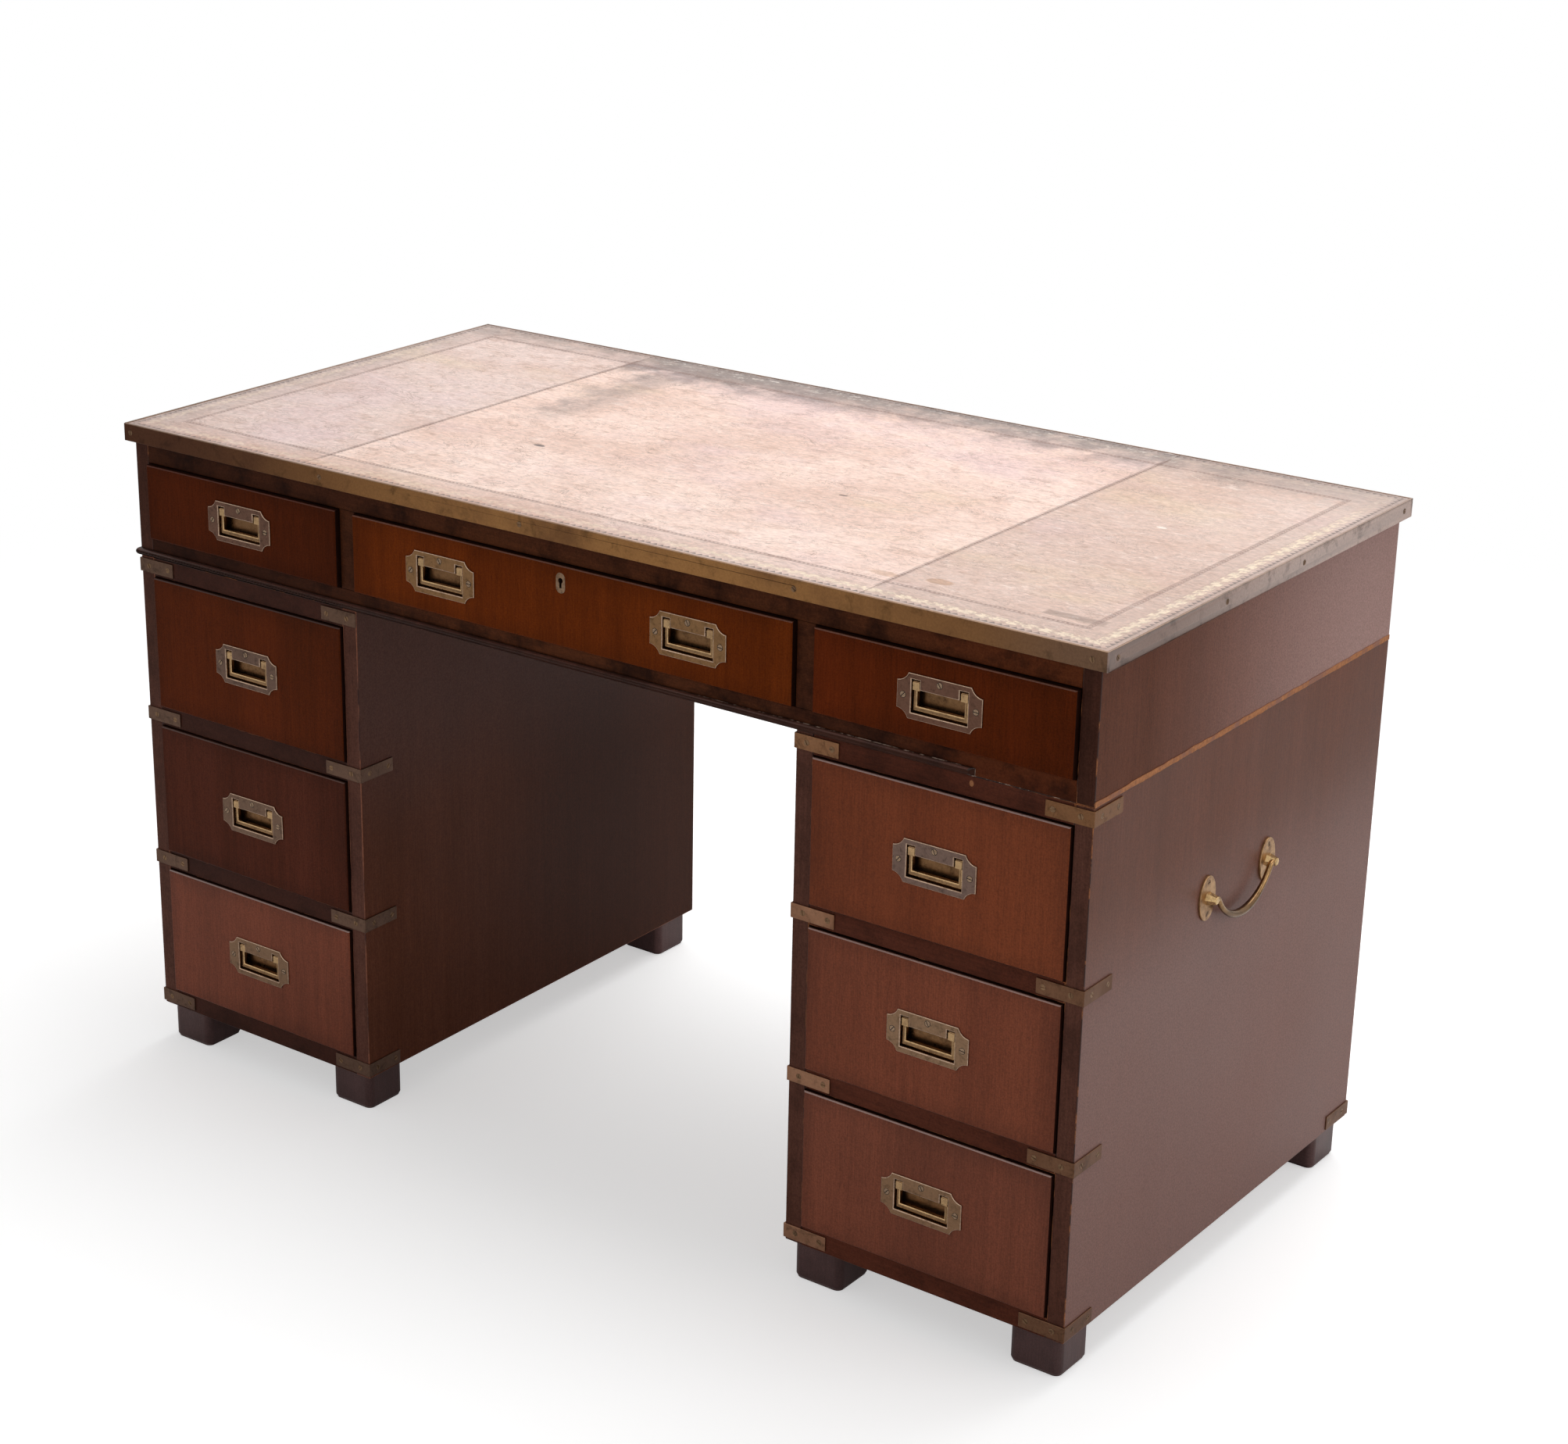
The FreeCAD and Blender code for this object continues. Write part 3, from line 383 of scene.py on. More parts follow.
    rubbed = add("ramp", add("noise", place, 150.0, 4.0, 0.7), 0.36, 0.56, 0.1, 0.75)
    key = add("multiply", add("multiply", key, kept), rubbed)
    body = add("layer", key, body, finishes.gilt)
    rise = add("subtract", inward, sizes.zigzag_in)
    teeth = add("subtract", add("multiply", add("pingpong", along, 0.0040), 1.3), rise)
    zigzag = add("multiply", add("ramp", teeth, -0.0004, 0.0006), add("ramp", rise, -0.0006, 0.0004))
    zigzag = add("multiply", zigzag, add("ramp", wear, 0.25, 0.55, 0.25, 0.8))
    body = add("layer", zigzag, body, "#544036")
    tooling = zigzag
    seam_off = add("absolute", add("subtract", add("absolute", x), SEAM))
    rope_off = add("absolute", add("subtract", inward, sizes.rope_in))
    for off, run, inside in ((rope_off, along, 1.0), (seam_off, y, add("greater than", from_long, 0.030))):
        lines = add("absolute", add("subtract", off, 0.0024))
        lines = add("ramp", lines, 0.0012, 0.0004, 0.0, 0.55)
        twist = add("ramp", add("pingpong", add("add", run, off), 0.0026), 0.0008, 0.0016)
        dashes = add("multiply", add("ramp", off, 0.0022, 0.0010, 0.0, 0.75), twist)
        bruise = add("ramp", off, 0.0042, 0.0020, 0.0, 0.24)
        rope = add("maximum", add("maximum", lines, dashes), bruise)
        rope = add("multiply", rope, inside)
        rope = add("multiply", rope, add("ramp", wear, 0.25, 0.55, 0.45, 1.0))
        body = add("layer", rope, body, "#704a3a")
        tooling = add("maximum", tooling, rope)
    body = add("layer", add("ramp", seam_off, 0.0010, 0.0003, 0.0, 0.3), body, "#55423a")

    body = add("tone", body, add("ramp", pebble, 0.3, 0.7, 0.87, 1.17))
    gloss = add("ramp", crush, 0.3, 0.7, 0.36, 0.5)
    dents = add("add", add("multiply add", crush, 0.6, pebble), add("multiply", tooling, -0.8))
    finish_material(material, shader, body, gloss, add("relief", dents, 0.3, 0.0009))
    return material


def dress(names, *materials):
    """Gives CAD nodes these materials in place of their own."""
    for name in names:
        slots = NODES[name].data.materials
        slots.clear()
        for material in materials:
            slots.append(material)


def soften(names, width, worn=-1):
    """Rounds the sharp edges that CAD nodes show, as rubbing does. The nodes' own vertices stay."""
    for name in names:
        node = NODES[name]
        node.modifiers.new("Weld", "WELD").merge_threshold = 0.000002
        flat = node.modifiers.new("Flat faces", "DECIMATE")
        flat.decimate_type, flat.angle_limit = "DISSOLVE", math.radians(0.5)
        painted_highlight_edge = node.modifiers.new("Rubbed edge", "BEVEL")
        painted_highlight_edge.width, painted_highlight_edge.segments, painted_highlight_edge.limit_method = width, 2, "ANGLE"
        painted_highlight_edge.angle_limit, painted_highlight_edge.material = math.radians(40), worn
        painted_highlight_edge.use_clamp_overlap = False
        node.modifiers.new("Shading", "WEIGHTED_NORMAL")


def edges_at(bm, test, sharp=0.6):
    """The sharp edges whose two ends both pass a test."""
    return [e for e in bm.edges if e.calc_face_angle(0.0) > sharp and all(test(v.co) for v in e.verts)]


def round_edges(bm, edges, width, segments=3, slot=0):
    """Rounds some edges of a bmesh, and gives the rounding a material slot."""
    made = bmesh.ops.bevel(bm, geom=edges, offset=width, offset_type="OFFSET", affect="EDGES", segments=segments,
                           profile=0.5, material=-1)
    for face in made["faces"]:
        face.material_index = slot


def board_copy(node):
    """A copy of a CAD node's mesh as a bmesh, merged, with its flat faces whole."""
    bm = bmesh.new()
    bm.from_mesh(NODES[node].data)
    bmesh.ops.remove_doubles(bm, verts=bm.verts, dist=0.000002)
    bmesh.ops.dissolve_limit(bm, angle_limit=math.radians(0.5), verts=bm.verts, edges=bm.edges)
    for face in bm.faces:
        face.material_index = 0
    return bm


def move(bm, vec):
    """Moves a whole bmesh."""
    bmesh.ops.translate(bm, verts=bm.verts, vec=vec)


def swivel(bm, degrees, axis):
    """Turns a whole bmesh about an axis through the origin."""
    turn = Matrix.Rotation(math.radians(degrees), 3, axis)
    bmesh.ops.rotate(bm, verts=bm.verts, cent=(0.0, 0.0, 0.0), matrix=turn)


def whole(bm):
    """All the vertices, edges and faces of a bmesh."""
    return bm.verts[:] + bm.edges[:] + bm.faces[:]


def corners_of(made):
    """The vertices among the pieces that an operator made."""
    return [v for v in made if isinstance(v, bmesh.types.BMVert)]


def block(size, centre):
    """A box of a size about its centre."""
    bm = bmesh.new()
    bmesh.ops.create_cube(bm, size=1.0)
    bmesh.ops.scale(bm, verts=bm.verts, vec=size)
    move(bm, centre)
    return bm


def fill_half(bm, spots, y):
    """Fills a half outline given from the middle line and back to it, then mirrors it across the middle."""
    bm.faces.new([bm.verts.new((x, y, z)) for x, z in spots])
    bmesh.ops.mirror(bm, geom=whole(bm), axis="X", merge_dist=0.000001)
    bmesh.ops.recalc_face_normals(bm, faces=bm.faces)


def thicken(bm, vec):
    """Extrudes a flat bmesh along a vector into a closed plate."""
    raised = bmesh.ops.extrude_face_region(bm, geom=bm.faces[:], use_keep_orig=True)["geom"]
    bmesh.ops.translate(bm, verts=corners_of(raised), vec=vec)
    bmesh.ops.recalc_face_normals(bm, faces=bm.faces)


def disc(radius, depth, segments=24):
    """A round plate at the origin, flat to the sitter, and thickened to them where depth is negative."""
    bm = bmesh.new()
    bmesh.ops.create_circle(bm, cap_ends=True, segments=segments, radius=radius)
    swivel(bm, 90, "X")
    thicken(bm, (0.0, depth, 0.0))
    return bm


def heal_middle(bm):
    """Makes a mirrored flat outline one face."""
    seam = [e for e in bm.edges if all(abs(v.co.x) < 0.0001 for v in e.verts)]
    bmesh.ops.dissolve_edges(bm, edges=seam, use_verts=True)


def sink(bm, faces, depth):
    """Pushes some faces of a closed bmesh in along Y, with walls round them."""
    lowered = bmesh.ops.extrude_face_region(bm, geom=faces)["geom"]
    bmesh.ops.delete(bm, geom=faces, context="FACES_ONLY")
    bmesh.ops.translate(bm, verts=corners_of(lowered), vec=(0.0, depth, 0.0))


def join(bm, part, slot=0):
    """Adds one bmesh to another, its plain faces with a material slot, and frees it."""
    for face in part.faces:
        face.material_index = face.material_index or slot
    mesh = bpy.data.meshes.new("joined")
    part.to_mesh(mesh)
    part.free()
    bm.from_mesh(mesh)
    bpy.data.meshes.remove(mesh)


def scooped_outline(half, high):
    """The right half of a pull plate's outline, from the top middle to the bottom middle, with hollow corners."""
    bm = bmesh.new()
    spots = [(0.0, 0.0)]
    for z, turn in ((0.0, 1), (-high, -1)):
        # Each hollow is 12.5 mm wide and 9 mm high, struck from a centre just outside the corner.
        centre = Vector((half + 0.000405, 0.0, z + turn * 0.004743))
        start = bm.verts.new((half - 0.0125, 0.0, z) if turn > 0 else (half, 0.0, z + 0.009))
        before = len(bm.verts)
        bmesh.ops.spin(bm, geom=[start], cent=centre, axis=(0.0, 1.0, 0.0), angle=math.radians(-68.13), steps=7)
        bm.verts.ensure_lookup_table()
        spots += [(v.co.x, v.co.z) for v in [start] + bm.verts[before:]]
    bm.free()
    return spots + [(0.0, -high)]


def pull_casting(sizes):
    """One recessed pull at the origin: plate with a rolled window, well, and three slotted screws.

    Its face is at y 0 and its top at z 0.
    """
    half, high, well = sizes.pull_width / 2, sizes.pull_height, sizes.well_width / 2
    slot_in, slot_top, tongue, floor, thick, wall = 0.0095, -0.006, -0.0157, 0.0067 - high, 0.0016, 0.0015
    window = [(0.0, floor), (well, floor), (well, slot_top), (well - slot_in, slot_top), (well - slot_in, tongue),
              (0.0, tongue)]
    bm = bmesh.new()

    plate = bmesh.new()
    fill_half(plate, scooped_outline(half, high) + window, thick)
    thicken(plate, (0.0, -thick, 0.0))
    front = edges_at(plate, lambda c: c.y < 0.0001)
    near = 0.001
    inner = [e for e in front if all(
        abs(v.co.x) < well + near and floor - near < v.co.z < slot_top + near for v in e.verts)]
    outer = [e for e in front if e not in inner]
    # The rounded lip and rim go to slot 4, rubbed brass with a painted highlight.
    round_edges(plate, inner, sizes.pull_lip, 3, 4)
    round_edges(plate, [e for e in outer if e.is_valid], sizes.pull_rim, 3, 4)
    join(bm, plate)

    cup = bmesh.new()
    grown = [(0.0, floor - wall), (well + wall, floor - wall), (well + wall, slot_top + wall),
             (well - slot_in - wall, slot_top + wall), (well - slot_in - wall, tongue + wall), (0.0, tongue + wall)]
    fill_half(cup, grown, thick)
    heal_middle(cup)
    thicken(cup, (0.0, sizes.well_depth + wall - thick, 0.0))
    mouth = min(cup.faces, key=lambda f: f.calc_center_median().y)
    bmesh.ops.inset_region(cup, faces=[mouth], thickness=wall, use_even_offset=True)
    sink(cup, [mouth], sizes.well_depth - thick)
    join(bm, cup, 1)

    for number, (x, z) in enumerate(((0.007 - half, -high / 2), (half - 0.007, -high / 2), (0.0, -0.0059))):
        ring = disc(sizes.screw_radius + 0.00045, 0.0003)
        move(ring, (x, -0.00008, z))
        join(bm, ring, 3)
        head = disc(sizes.screw_radius, -0.0007)
        round_edges(head, edges_at(head, lambda c: c.y < -0.0006), 0.0003)
        across = Matrix.Rotation(math.radians(40 + 55 * number), 3, "Y") @ Vector((1.0, 0.0, 0.0))
        for painted_highlight_edge in (-0.00045, 0.00045):
            bmesh.ops.bisect_plane(head, geom=whole(head), dist=0.00001, plane_co=across * painted_highlight_edge, plane_no=across)
        strip = [f for f in head.faces if f.normal.y < -0.3 and abs(f.calc_center_median().dot(across)) < 0.0004]
        sink(head, strip, 0.0004)
        move(head, (x, 0.0003, z))
        join(bm, head, 2)
    return bm


def folding_bail(sizes):
    """One folding bail at the origin of its pull: two flat ears on barrels, two arms and a rounded bar."""
    high, half = sizes.pull_height, sizes.well_width / 2 - 0.00075
    pin_y, pin_z, foot, thick, arm, back, deep = 0.005, -0.0104, 0.0080 - high, 0.0054, 0.0045, 0.0068, 0.0040
    bm = bmesh.new()
    frame_part = bmesh.new()
    fill_half(frame_part, [(0.0, foot), (half, foot), (half, pin_z), (half - arm, pin_z), (half - arm, foot + thick),
                           (0.0, foot + thick)], back)
    heal_middle(frame_part)
    thicken(frame_part, (0.0, -deep, 0.0))
    # The rounded front edges go to slot 1, a painted highlight.
    round_edges(frame_part, edges_at(frame_part, lambda c: c.y < 0.003), 0.0014, 3, 1)
    join(bm, frame_part)
    for side in (-1, 1):
        middle = side * (half - 0.004)
        ear = block((0.0080, 0.0040, 0.0082), (middle, 0.0030, pin_z - 0.0024))
        round_edges(ear, edges_at(ear, lambda c: c.y < 0.002), 0.0006, 3, 1)
        join(bm, ear, 1)
        barrel = bmesh.new()
        bmesh.ops.create_cone(barrel, cap_ends=True, segments=28, radius1=0.0036, radius2=0.0036, depth=0.0080)
        swivel(barrel, 90, "Y")
        move(barrel, (middle, pin_y, pin_z))
        round_edges(barrel, edges_at(barrel, lambda c: True), 0.0003, 2)
        join(bm, barrel)
    return bm


def handle_plates(sizes, node, out):
    """A carrying handle's two plates with rounded rims, each with a faceted post, along X by the sign of out."""
    low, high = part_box(node)
    back, height = low.x if out > 0 else high.x, (low.z + high.z) / 2
    face = back + out * sizes.handle_plate
    bm = board_copy(node)
    bmesh.ops.bisect_plane(bm, geom=whole(bm), dist=0.000001,
                           plane_co=(face + out * 0.00001, 0.0, 0.0), plane_no=(out, 0.0, 0.0), clear_outer=True)
    bmesh.ops.holes_fill(bm, edges=[e for e in bm.edges if e.is_boundary], sides=0)
    half_high = (high.z - low.z) / 2
    centres = (low.y + PLATE_HALF, high.y - PLATE_HALF)
    rim = [e for e in edges_at(bm, lambda c: abs(c.x - face) < 0.00003)
           if all(min(((v.co.y - y) / PLATE_HALF) ** 2 for y in centres)
                  + ((v.co.z - height) / half_high) ** 2 > 0.8 for v in e.verts)]
    round_edges(bm, rim, 0.0009, 3)
    for y in centres:
        post = bmesh.new()
        bmesh.ops.create_cone(post, cap_ends=True, segments=6, radius1=0.0072, radius2=0.0042,
                              depth=sizes.post_length)
        round_edges(post, edges_at(post, lambda c: c.z > 0.0, 0.3), 0.0008, 2)
        swivel(post, 90 * out, "Y")
        move(post, (face + out * (sizes.post_length / 2 - 0.0004), y, height))
        join(bm, post, 1)
    return bm


def rod_handle(sizes, x, posts, height):
    """A carrying handle's rod: it leaves each post inwards, turns down, and swells in the middle of one long bow."""
    start, end = posts
    middle, slope, small, inside = (start + end) / 2, math.radians(58), 0.0065, 0.002
    bow = sizes.rod_drop / (1 - math.cos(slope)) - small
    leg = (end - start) / 2 - (small + bow) * math.sin(slope)
    bm = bmesh.new()
    bmesh.ops.create_circle(bm, segments=16, radius=sizes.rod_radius)
    swivel(bm, 90, "X")
    move(bm, (x, start - inside, height))
    ring = bm.edges[:]
    first = ring[:]
    bow_centre = Vector((x, middle, height - sizes.rod_drop + bow))
    for length, centre, angle, steps in (
            (inside + leg, None, 0.0, 1), (0.0, (x, start + leg, height - small), -slope, 5),
            (0.0, bow_centre, 2 * slope, 28),
            (0.0, (x, end - leg, height - small), -slope, 5), (inside + leg, None, 0.0, 1)):
        if centre is None:
            made = bmesh.ops.extrude_edge_only(bm, edges=ring)["geom"]
            bmesh.ops.translate(bm, verts=corners_of(made), vec=(0.0, length, 0.0))
            ring = [e for e in made if isinstance(e, bmesh.types.BMEdge) and all(v in made for v in e.verts)]
        else:
            made = bmesh.ops.spin(bm, geom=ring, cent=centre, axis=(1.0, 0.0, 0.0), angle=angle,
                                  steps=steps)["geom_last"]
            ring = [e for e in made if isinstance(e, bmesh.types.BMEdge)]
    bmesh.ops.holes_fill(bm, edges=first + ring, sides=0)
    bmesh.ops.recalc_face_normals(bm, faces=bm.faces)
    for vert in bm.verts:
        swell = 0.42 * max(0.0, 1.0 - (abs(vert.co.y - middle) / 0.040) ** 2)
        if swell > 0.0:
            spoke = vert.co - bow_centre
            spoke.x = 0.0
            axis = bow_centre + spoke.normalized() * bow
            vert.co = axis + (vert.co - axis) * (1.0 + swell)
    return bm


def place_piece(name, bm, body, materials, stands_for=()):
    """Makes a bmesh an object in the shared frame that rides on a body, smooth but for its sharp edges."""
    for face in bm.faces:
        face.smooth = True
    for painted_highlight_edge in bm.edges:
        painted_highlight_edge.smooth = painted_highlight_edge.calc_face_angle(0.0) < math.radians(40)
    mesh = bpy.data.meshes.new(name)
    bm.to_mesh(mesh)
    bm.free()
    if "custom_normal" in mesh.attributes:
        mesh.attributes.remove(mesh.attributes["custom_normal"])
    for material in materials:
        mesh.materials.append(material)
    piece = bpy.data.objects.new(name, mesh)
    bpy.context.scene.collection.objects.link(piece)
    piece.modifiers.new("Shading", "WEIGHTED_NORMAL").keep_sharp = True
    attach(piece, body)
    if stands_for:
        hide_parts(*stands_for)
    return piece


class DESK_OT_boards(bpy.types.Operator):
    """Polishes the boards of the case and the pedestals and wears their edges"""
    bl_idname = "desk.boards"
    bl_label = "Boards"

    def execute(self, context):
        sizes, finishes = context.scene.desk_sizes, context.scene.desk_finishes
        pale, deep = finishes.veneer_pale, finishes.veneer_deep

        # Each timber's pale and deep bands, the run and the shift of its grain, and its roughness, shine and coat.
        bare = bare_timber("mahogany_rubbed_edge", finishes.bare_wood, linear("#3a190c"), 0.4)
        chipped = bare_timber("mahogany_chipped_bead", linear("#c4aa98"), linear("#2e1a12"), 0.5, 0.008, 0.1)
        rubbed = bare_timber("mahogany_rubbed_corner", linear("#a3664c"), linear("#40211a"), 0.85, 0.12)
        rails = timber("mahogany_rail_polish", finishes.rail_pale, finishes.rail_deep, "X", 3.1, 0.42, 0.08, 0.0,
                       grime=0.4, fades=[("x", 0.1, -0.3, "#3c231c", 0.75)])
        case_rails = timber("mahogany_case_rail", "#66381f", "#472518", "X", 7.3, 0.42, 0.05, 0.0, grime=0.8, fades=[
            ("x", -0.05, -0.55, "#2a140c", 0.5), ("x", 0.36, 0.52, "#7a3a1c", 0.4)])
        # The bead's lower faces take its own dark polish, darkened as painted shade; its upper faces take a pale copy,
        # a painted highlight.
        bead = timber("mahogany_bead_shaded_polish", "#4a2a1e", "#341c14", "X", 2.2, 0.36, 0.12, 0.0, grime=0.5)
        bead_highlight_paint = timber("mahogany_bead_painted_highlight", "#74493e", "#57362c", "X", 2.9, 0.3, 0.2, 0.05, grime=0.6)
        stile = timber("mahogany_stile_polish", "#583428", "#40251c", "Z", 9.9, 0.42, 0.06, 0.0, grime=0.3)
        pedestal_stile = timber("mahogany_pedestal_stile", "#6e463a", "#583529", "Z", 14.2, 0.42, 0.08, 0.0,
                                grime=0.3)
        # The end veneer turns paler and greyer towards the back, a painted reflection.
        ends = timber("mahogany_end_painted_reflection_veneer", pale, deep, "Z", 11.3, 0.36, 0.05, 0.0,
                      fades=[("y", -0.24, 0.26, "#b4928b", 0.82)])
        far_end = timber("mahogany_left_end_veneer", pale, deep, "Z", 12.9, 0.36, 0.2, 0.03)
        back = timber("mahogany_back_veneer", pale, deep, "Z", 17.9, 0.4, 0.3, 0.05)
        # The right pedestal's veneer turns paler and greyer lower down, a painted reflection.
        outer = timber("mahogany_right_pedestal_painted_reflection_veneer", pale, deep, "Z", 23.7, 0.36, 0.14, 0.02, fades=[
            ("z", 0.53, 0.36, "#917069", 0.64)])
        # The left pedestal's veneer is darker towards the back of the kneehole, painted shade, and paler upwards,
        # painted light.
        inner = timber("mahogany_left_pedestal_painted_light_veneer", pale, deep, "Z", 32.8, 0.36, 0.07, 0.01, fades=[
            ("y", -0.22, 0.15, "#2c140a", 0.74), ("z", 0.30, 0.50, "#664d48", 0.6)])

        def lay(name, node, slots, tests, worn=lambda face: True):
            """Makes a polished copy of a board, worn edges in slot 1 and other faces in the slots of tests."""
            bm = board_copy(node)
            for face in bm.faces:
                face.material_index = next((slot for slot, test in tests if test(face)), 0)
            round_edges(bm, edges_at(bm, lambda c: True, math.radians(40)), sizes.board_edge, 2, 1)
            for face in bm.faces:
                if face.material_index == 1 and not worn(face):
                    face.material_index = 0
            place_piece(name, bm, "desk", slots, [node])

        def faces_sitter(face):
            """Whether a face looks at the sitter."""
            return face.normal.y < -0.7

        frame_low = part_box("case_front_frame")[0]

        def at_foot(face):
            """Whether a face of the front frame is near its foot."""
            return face.calc_center_median().z < frame_low.z + 0.011

        def on_bead(face):
            """Whether a face of the front frame is on the bead at its foot."""
            return at_foot(face) and face.calc_center_median().y < -0.3072

        lay("case_ends_veneered", "case_end_panels", [ends, bare, stile, far_end], [
            (2, faces_sitter), (3, lambda f: f.calc_center_median().x < 0.0)])
        lay("left_sides_veneered", "left_pedestal_sides", [inner, rubbed, pedestal_stile], [(2, faces_sitter)])
        lay("right_sides_veneered", "right_pedestal_sides", [outer, bare, pedestal_stile], [(2, faces_sitter)])
        # On the bead: chips along the top, a painted highlight on the upper faces and painted shade on the rest.
        lay("case_frame_polished", "case_front_frame", [case_rails, chipped, bead, bead_highlight_paint], [
            (1, lambda f: on_bead(f) and f.normal.z > 0.85), (3, lambda f: on_bead(f) and f.normal.z > 0.4),
            (2, on_bead)], at_foot)
        plain_boards = ["case_back_panel"] + [f"{side}_pedestal_boards" for side in SIDES]
        pedestal_rails = [f"{side}_pedestal_rails" for side in SIDES]
        dress(plain_boards, back, bare)
        dress(pedestal_rails, rails, bare)
        soften(plain_boards + pedestal_rails, sizes.board_edge, 1)
        lining = timber("stained_pine_inside", "#8a5a34", "#5e3a20", "Y", 5.0, 0.6, 0.3)
        dress(["case_insides", "top_board"], lining)
        feet = timber("mahogany_dark_foot", "#5a3e3d", "#463030", "Z", 41.0, 0.36, 0.45, grime=0.4)
        dress(["block_feet"], feet)
        soften(["block_feet"], sizes.foot_edge)
        return {"FINISHED"}


class DESK_OT_drawers(bpy.types.Operator):
    """Veneers the nine drawer fronts and lines the drawer boxes"""
    bl_idname = "desk.drawers"
    bl_label = "Drawers"

    # Each front's pale and deep bands, its shine, and the colour of its upper edge, a painted highlight that is dark
    # on bays where none shows; the fronts differ from bay to bay.
    FRONTS = {
        "top_left": ("#60260a", "#501f06", 0.03, "#673424"),
        "top_centre": ("#82390c", "#6c2d07", 0.03, "#865543"),
        "top_right": ("#752f0e", "#622708", 0.03, "#8a5a48"),
        "left_upper": ("#6e2e0e", "#5a2508", 0.04, "#4c2c22"),
        "left_middle": ("#633020", "#532616", 0.05, "#5c3a2e"),
        "left_lower": ("#914c34", "#80422c", 0.18, "#8a6b61"),
        "right_upper": ("#934a2a", "#823f22", 0.14, "#a5837a"),
        "right_middle": ("#934e34", "#83442d", 0.18, "#976f62"),
        "right_lower": ("#8a4b35", "#7b422e", 0.22, "#9c7669")}

    def execute(self, context):
        sizes, finishes = context.scene.desk_sizes, context.scene.desk_finishes
        # Painted shade: a near-black mahogany for the fronts' side faces and top flats.
        side_shade_paint = timber("mahogany_painted_shade_side", "#2c1610", "#200f0a", "Y", 6.1, 0.5, 0.05, 0.0)
        lining = timber("cedar_drawer_lining", finishes.lining_pale, finishes.lining_deep, "Y", 8.0, 0.6, 0.3,
                        pores=0.25)
        for number, bay in enumerate(BAYS):
            pale, deep, shine, worn = self.FRONTS[bay]
            node = f"{bay}_front"
            low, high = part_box(node)
            # Each veneer darkens along its rim as painted shade.
            veneer = timber(f"mahogany_{bay}_veneer", pale, deep, "Z", 4.7 * number + 1.3, 0.36, shine, 0.02,
                            rim=(low, high))
            bm = board_copy(node)
            for face in bm.faces:
                # Side faces and top flats take the painted shade (slot 2); the upward part of the rounded front edge
                # takes the painted highlight (slot 1).
                if abs(face.normal.x) > 0.8 or face.normal.z > 0.97:
                    face.material_index = 2
                elif face.calc_center_median().y < low.y + sizes.front_edge and face.normal.z > 0.45:
                    face.material_index = 1
            # The edge material's colour, worn, is a painted highlight on the upward part of the rounded front edge.
            painted_highlight_edge = timber(f"mahogany_{bay}_edge", worn, darker(worn, 0.66), "X", 6.6, 0.2, shine * 4.5, shine * 4.0,
                          pores=0.1)
            place_piece(f"{bay}_front_veneered", bm, BODY_OF[node], [veneer, painted_highlight_edge, side_shade_paint], [node])
            dress([f"{bay}_box"], lining)
            soften([f"{bay}_box"], 0.0006)
        return {"FINISHED"}


class DESK_OT_brass(bpy.types.Operator):
    """Ages the brass band, straps, screws and lock"""
    bl_idname = "desk.brass"
    bl_label = "Brass"

    def execute(self, context):
        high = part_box("edge_band")[1]
        end, crest = high.x, high.z

        # Each brass's bright and brown colours, its share of tarnish, its roughness and the width of its clouds.
        # The band's right end and its side, paler towards the back, are a painted reflection; the paler grey line
        # along its crest is a painted highlight.
        band = aged_brass("aged_brass_edge_band", "#9c7044", "#6c4a30", 0.5, 0.34, 0.09, [
            ("x", -0.05, -0.58, "#4c2e20", 0.95), ("x", 0.20, 0.55, "#5e3f2c", 0.55),
            ("x", 0.47, 0.62, "#6c574a", 0.6), ("x", end - 0.0008, end - 0.0003, "#8f7a71", 0.95),
            ("y", -0.26, 0.12, "#d6c1b8", 0.7), ("z", crest - 0.0010, crest - 0.0003, "#7d6552", 0.7)])
        straps = aged_brass("aged_brass_strap", "#987057", "#76523d", 0.5, 0.34, 0.04, [
            ("x", 0.35, 0.61, "#5d412f", 0.75), ("z", 0.46, 0.60, "#805a3c", 0.7),
            ("x", 0.05, -0.25, "#5c483d", 0.85)])
        screws = aged_brass("aged_brass_screw", "#86694f", "#4a3528", 0.5, 0.3, 0.005)
        lock = aged_brass("aged_brass_lock", "#8f745c", "#563d2d", 0.45, 0.32, 0.008)
        corner_straps = [f"{side}_corner_straps" for side in SIDES]
        dress(["edge_band"], band)
        dress(["brass_screws"], screws)
        dress(["drawer_lock", "lock_bolt"], lock)
        dress(corner_straps, straps)
        soften(["edge_band"] + corner_straps, context.scene.desk_sizes.strap_edge)
        return {"FINISHED"}


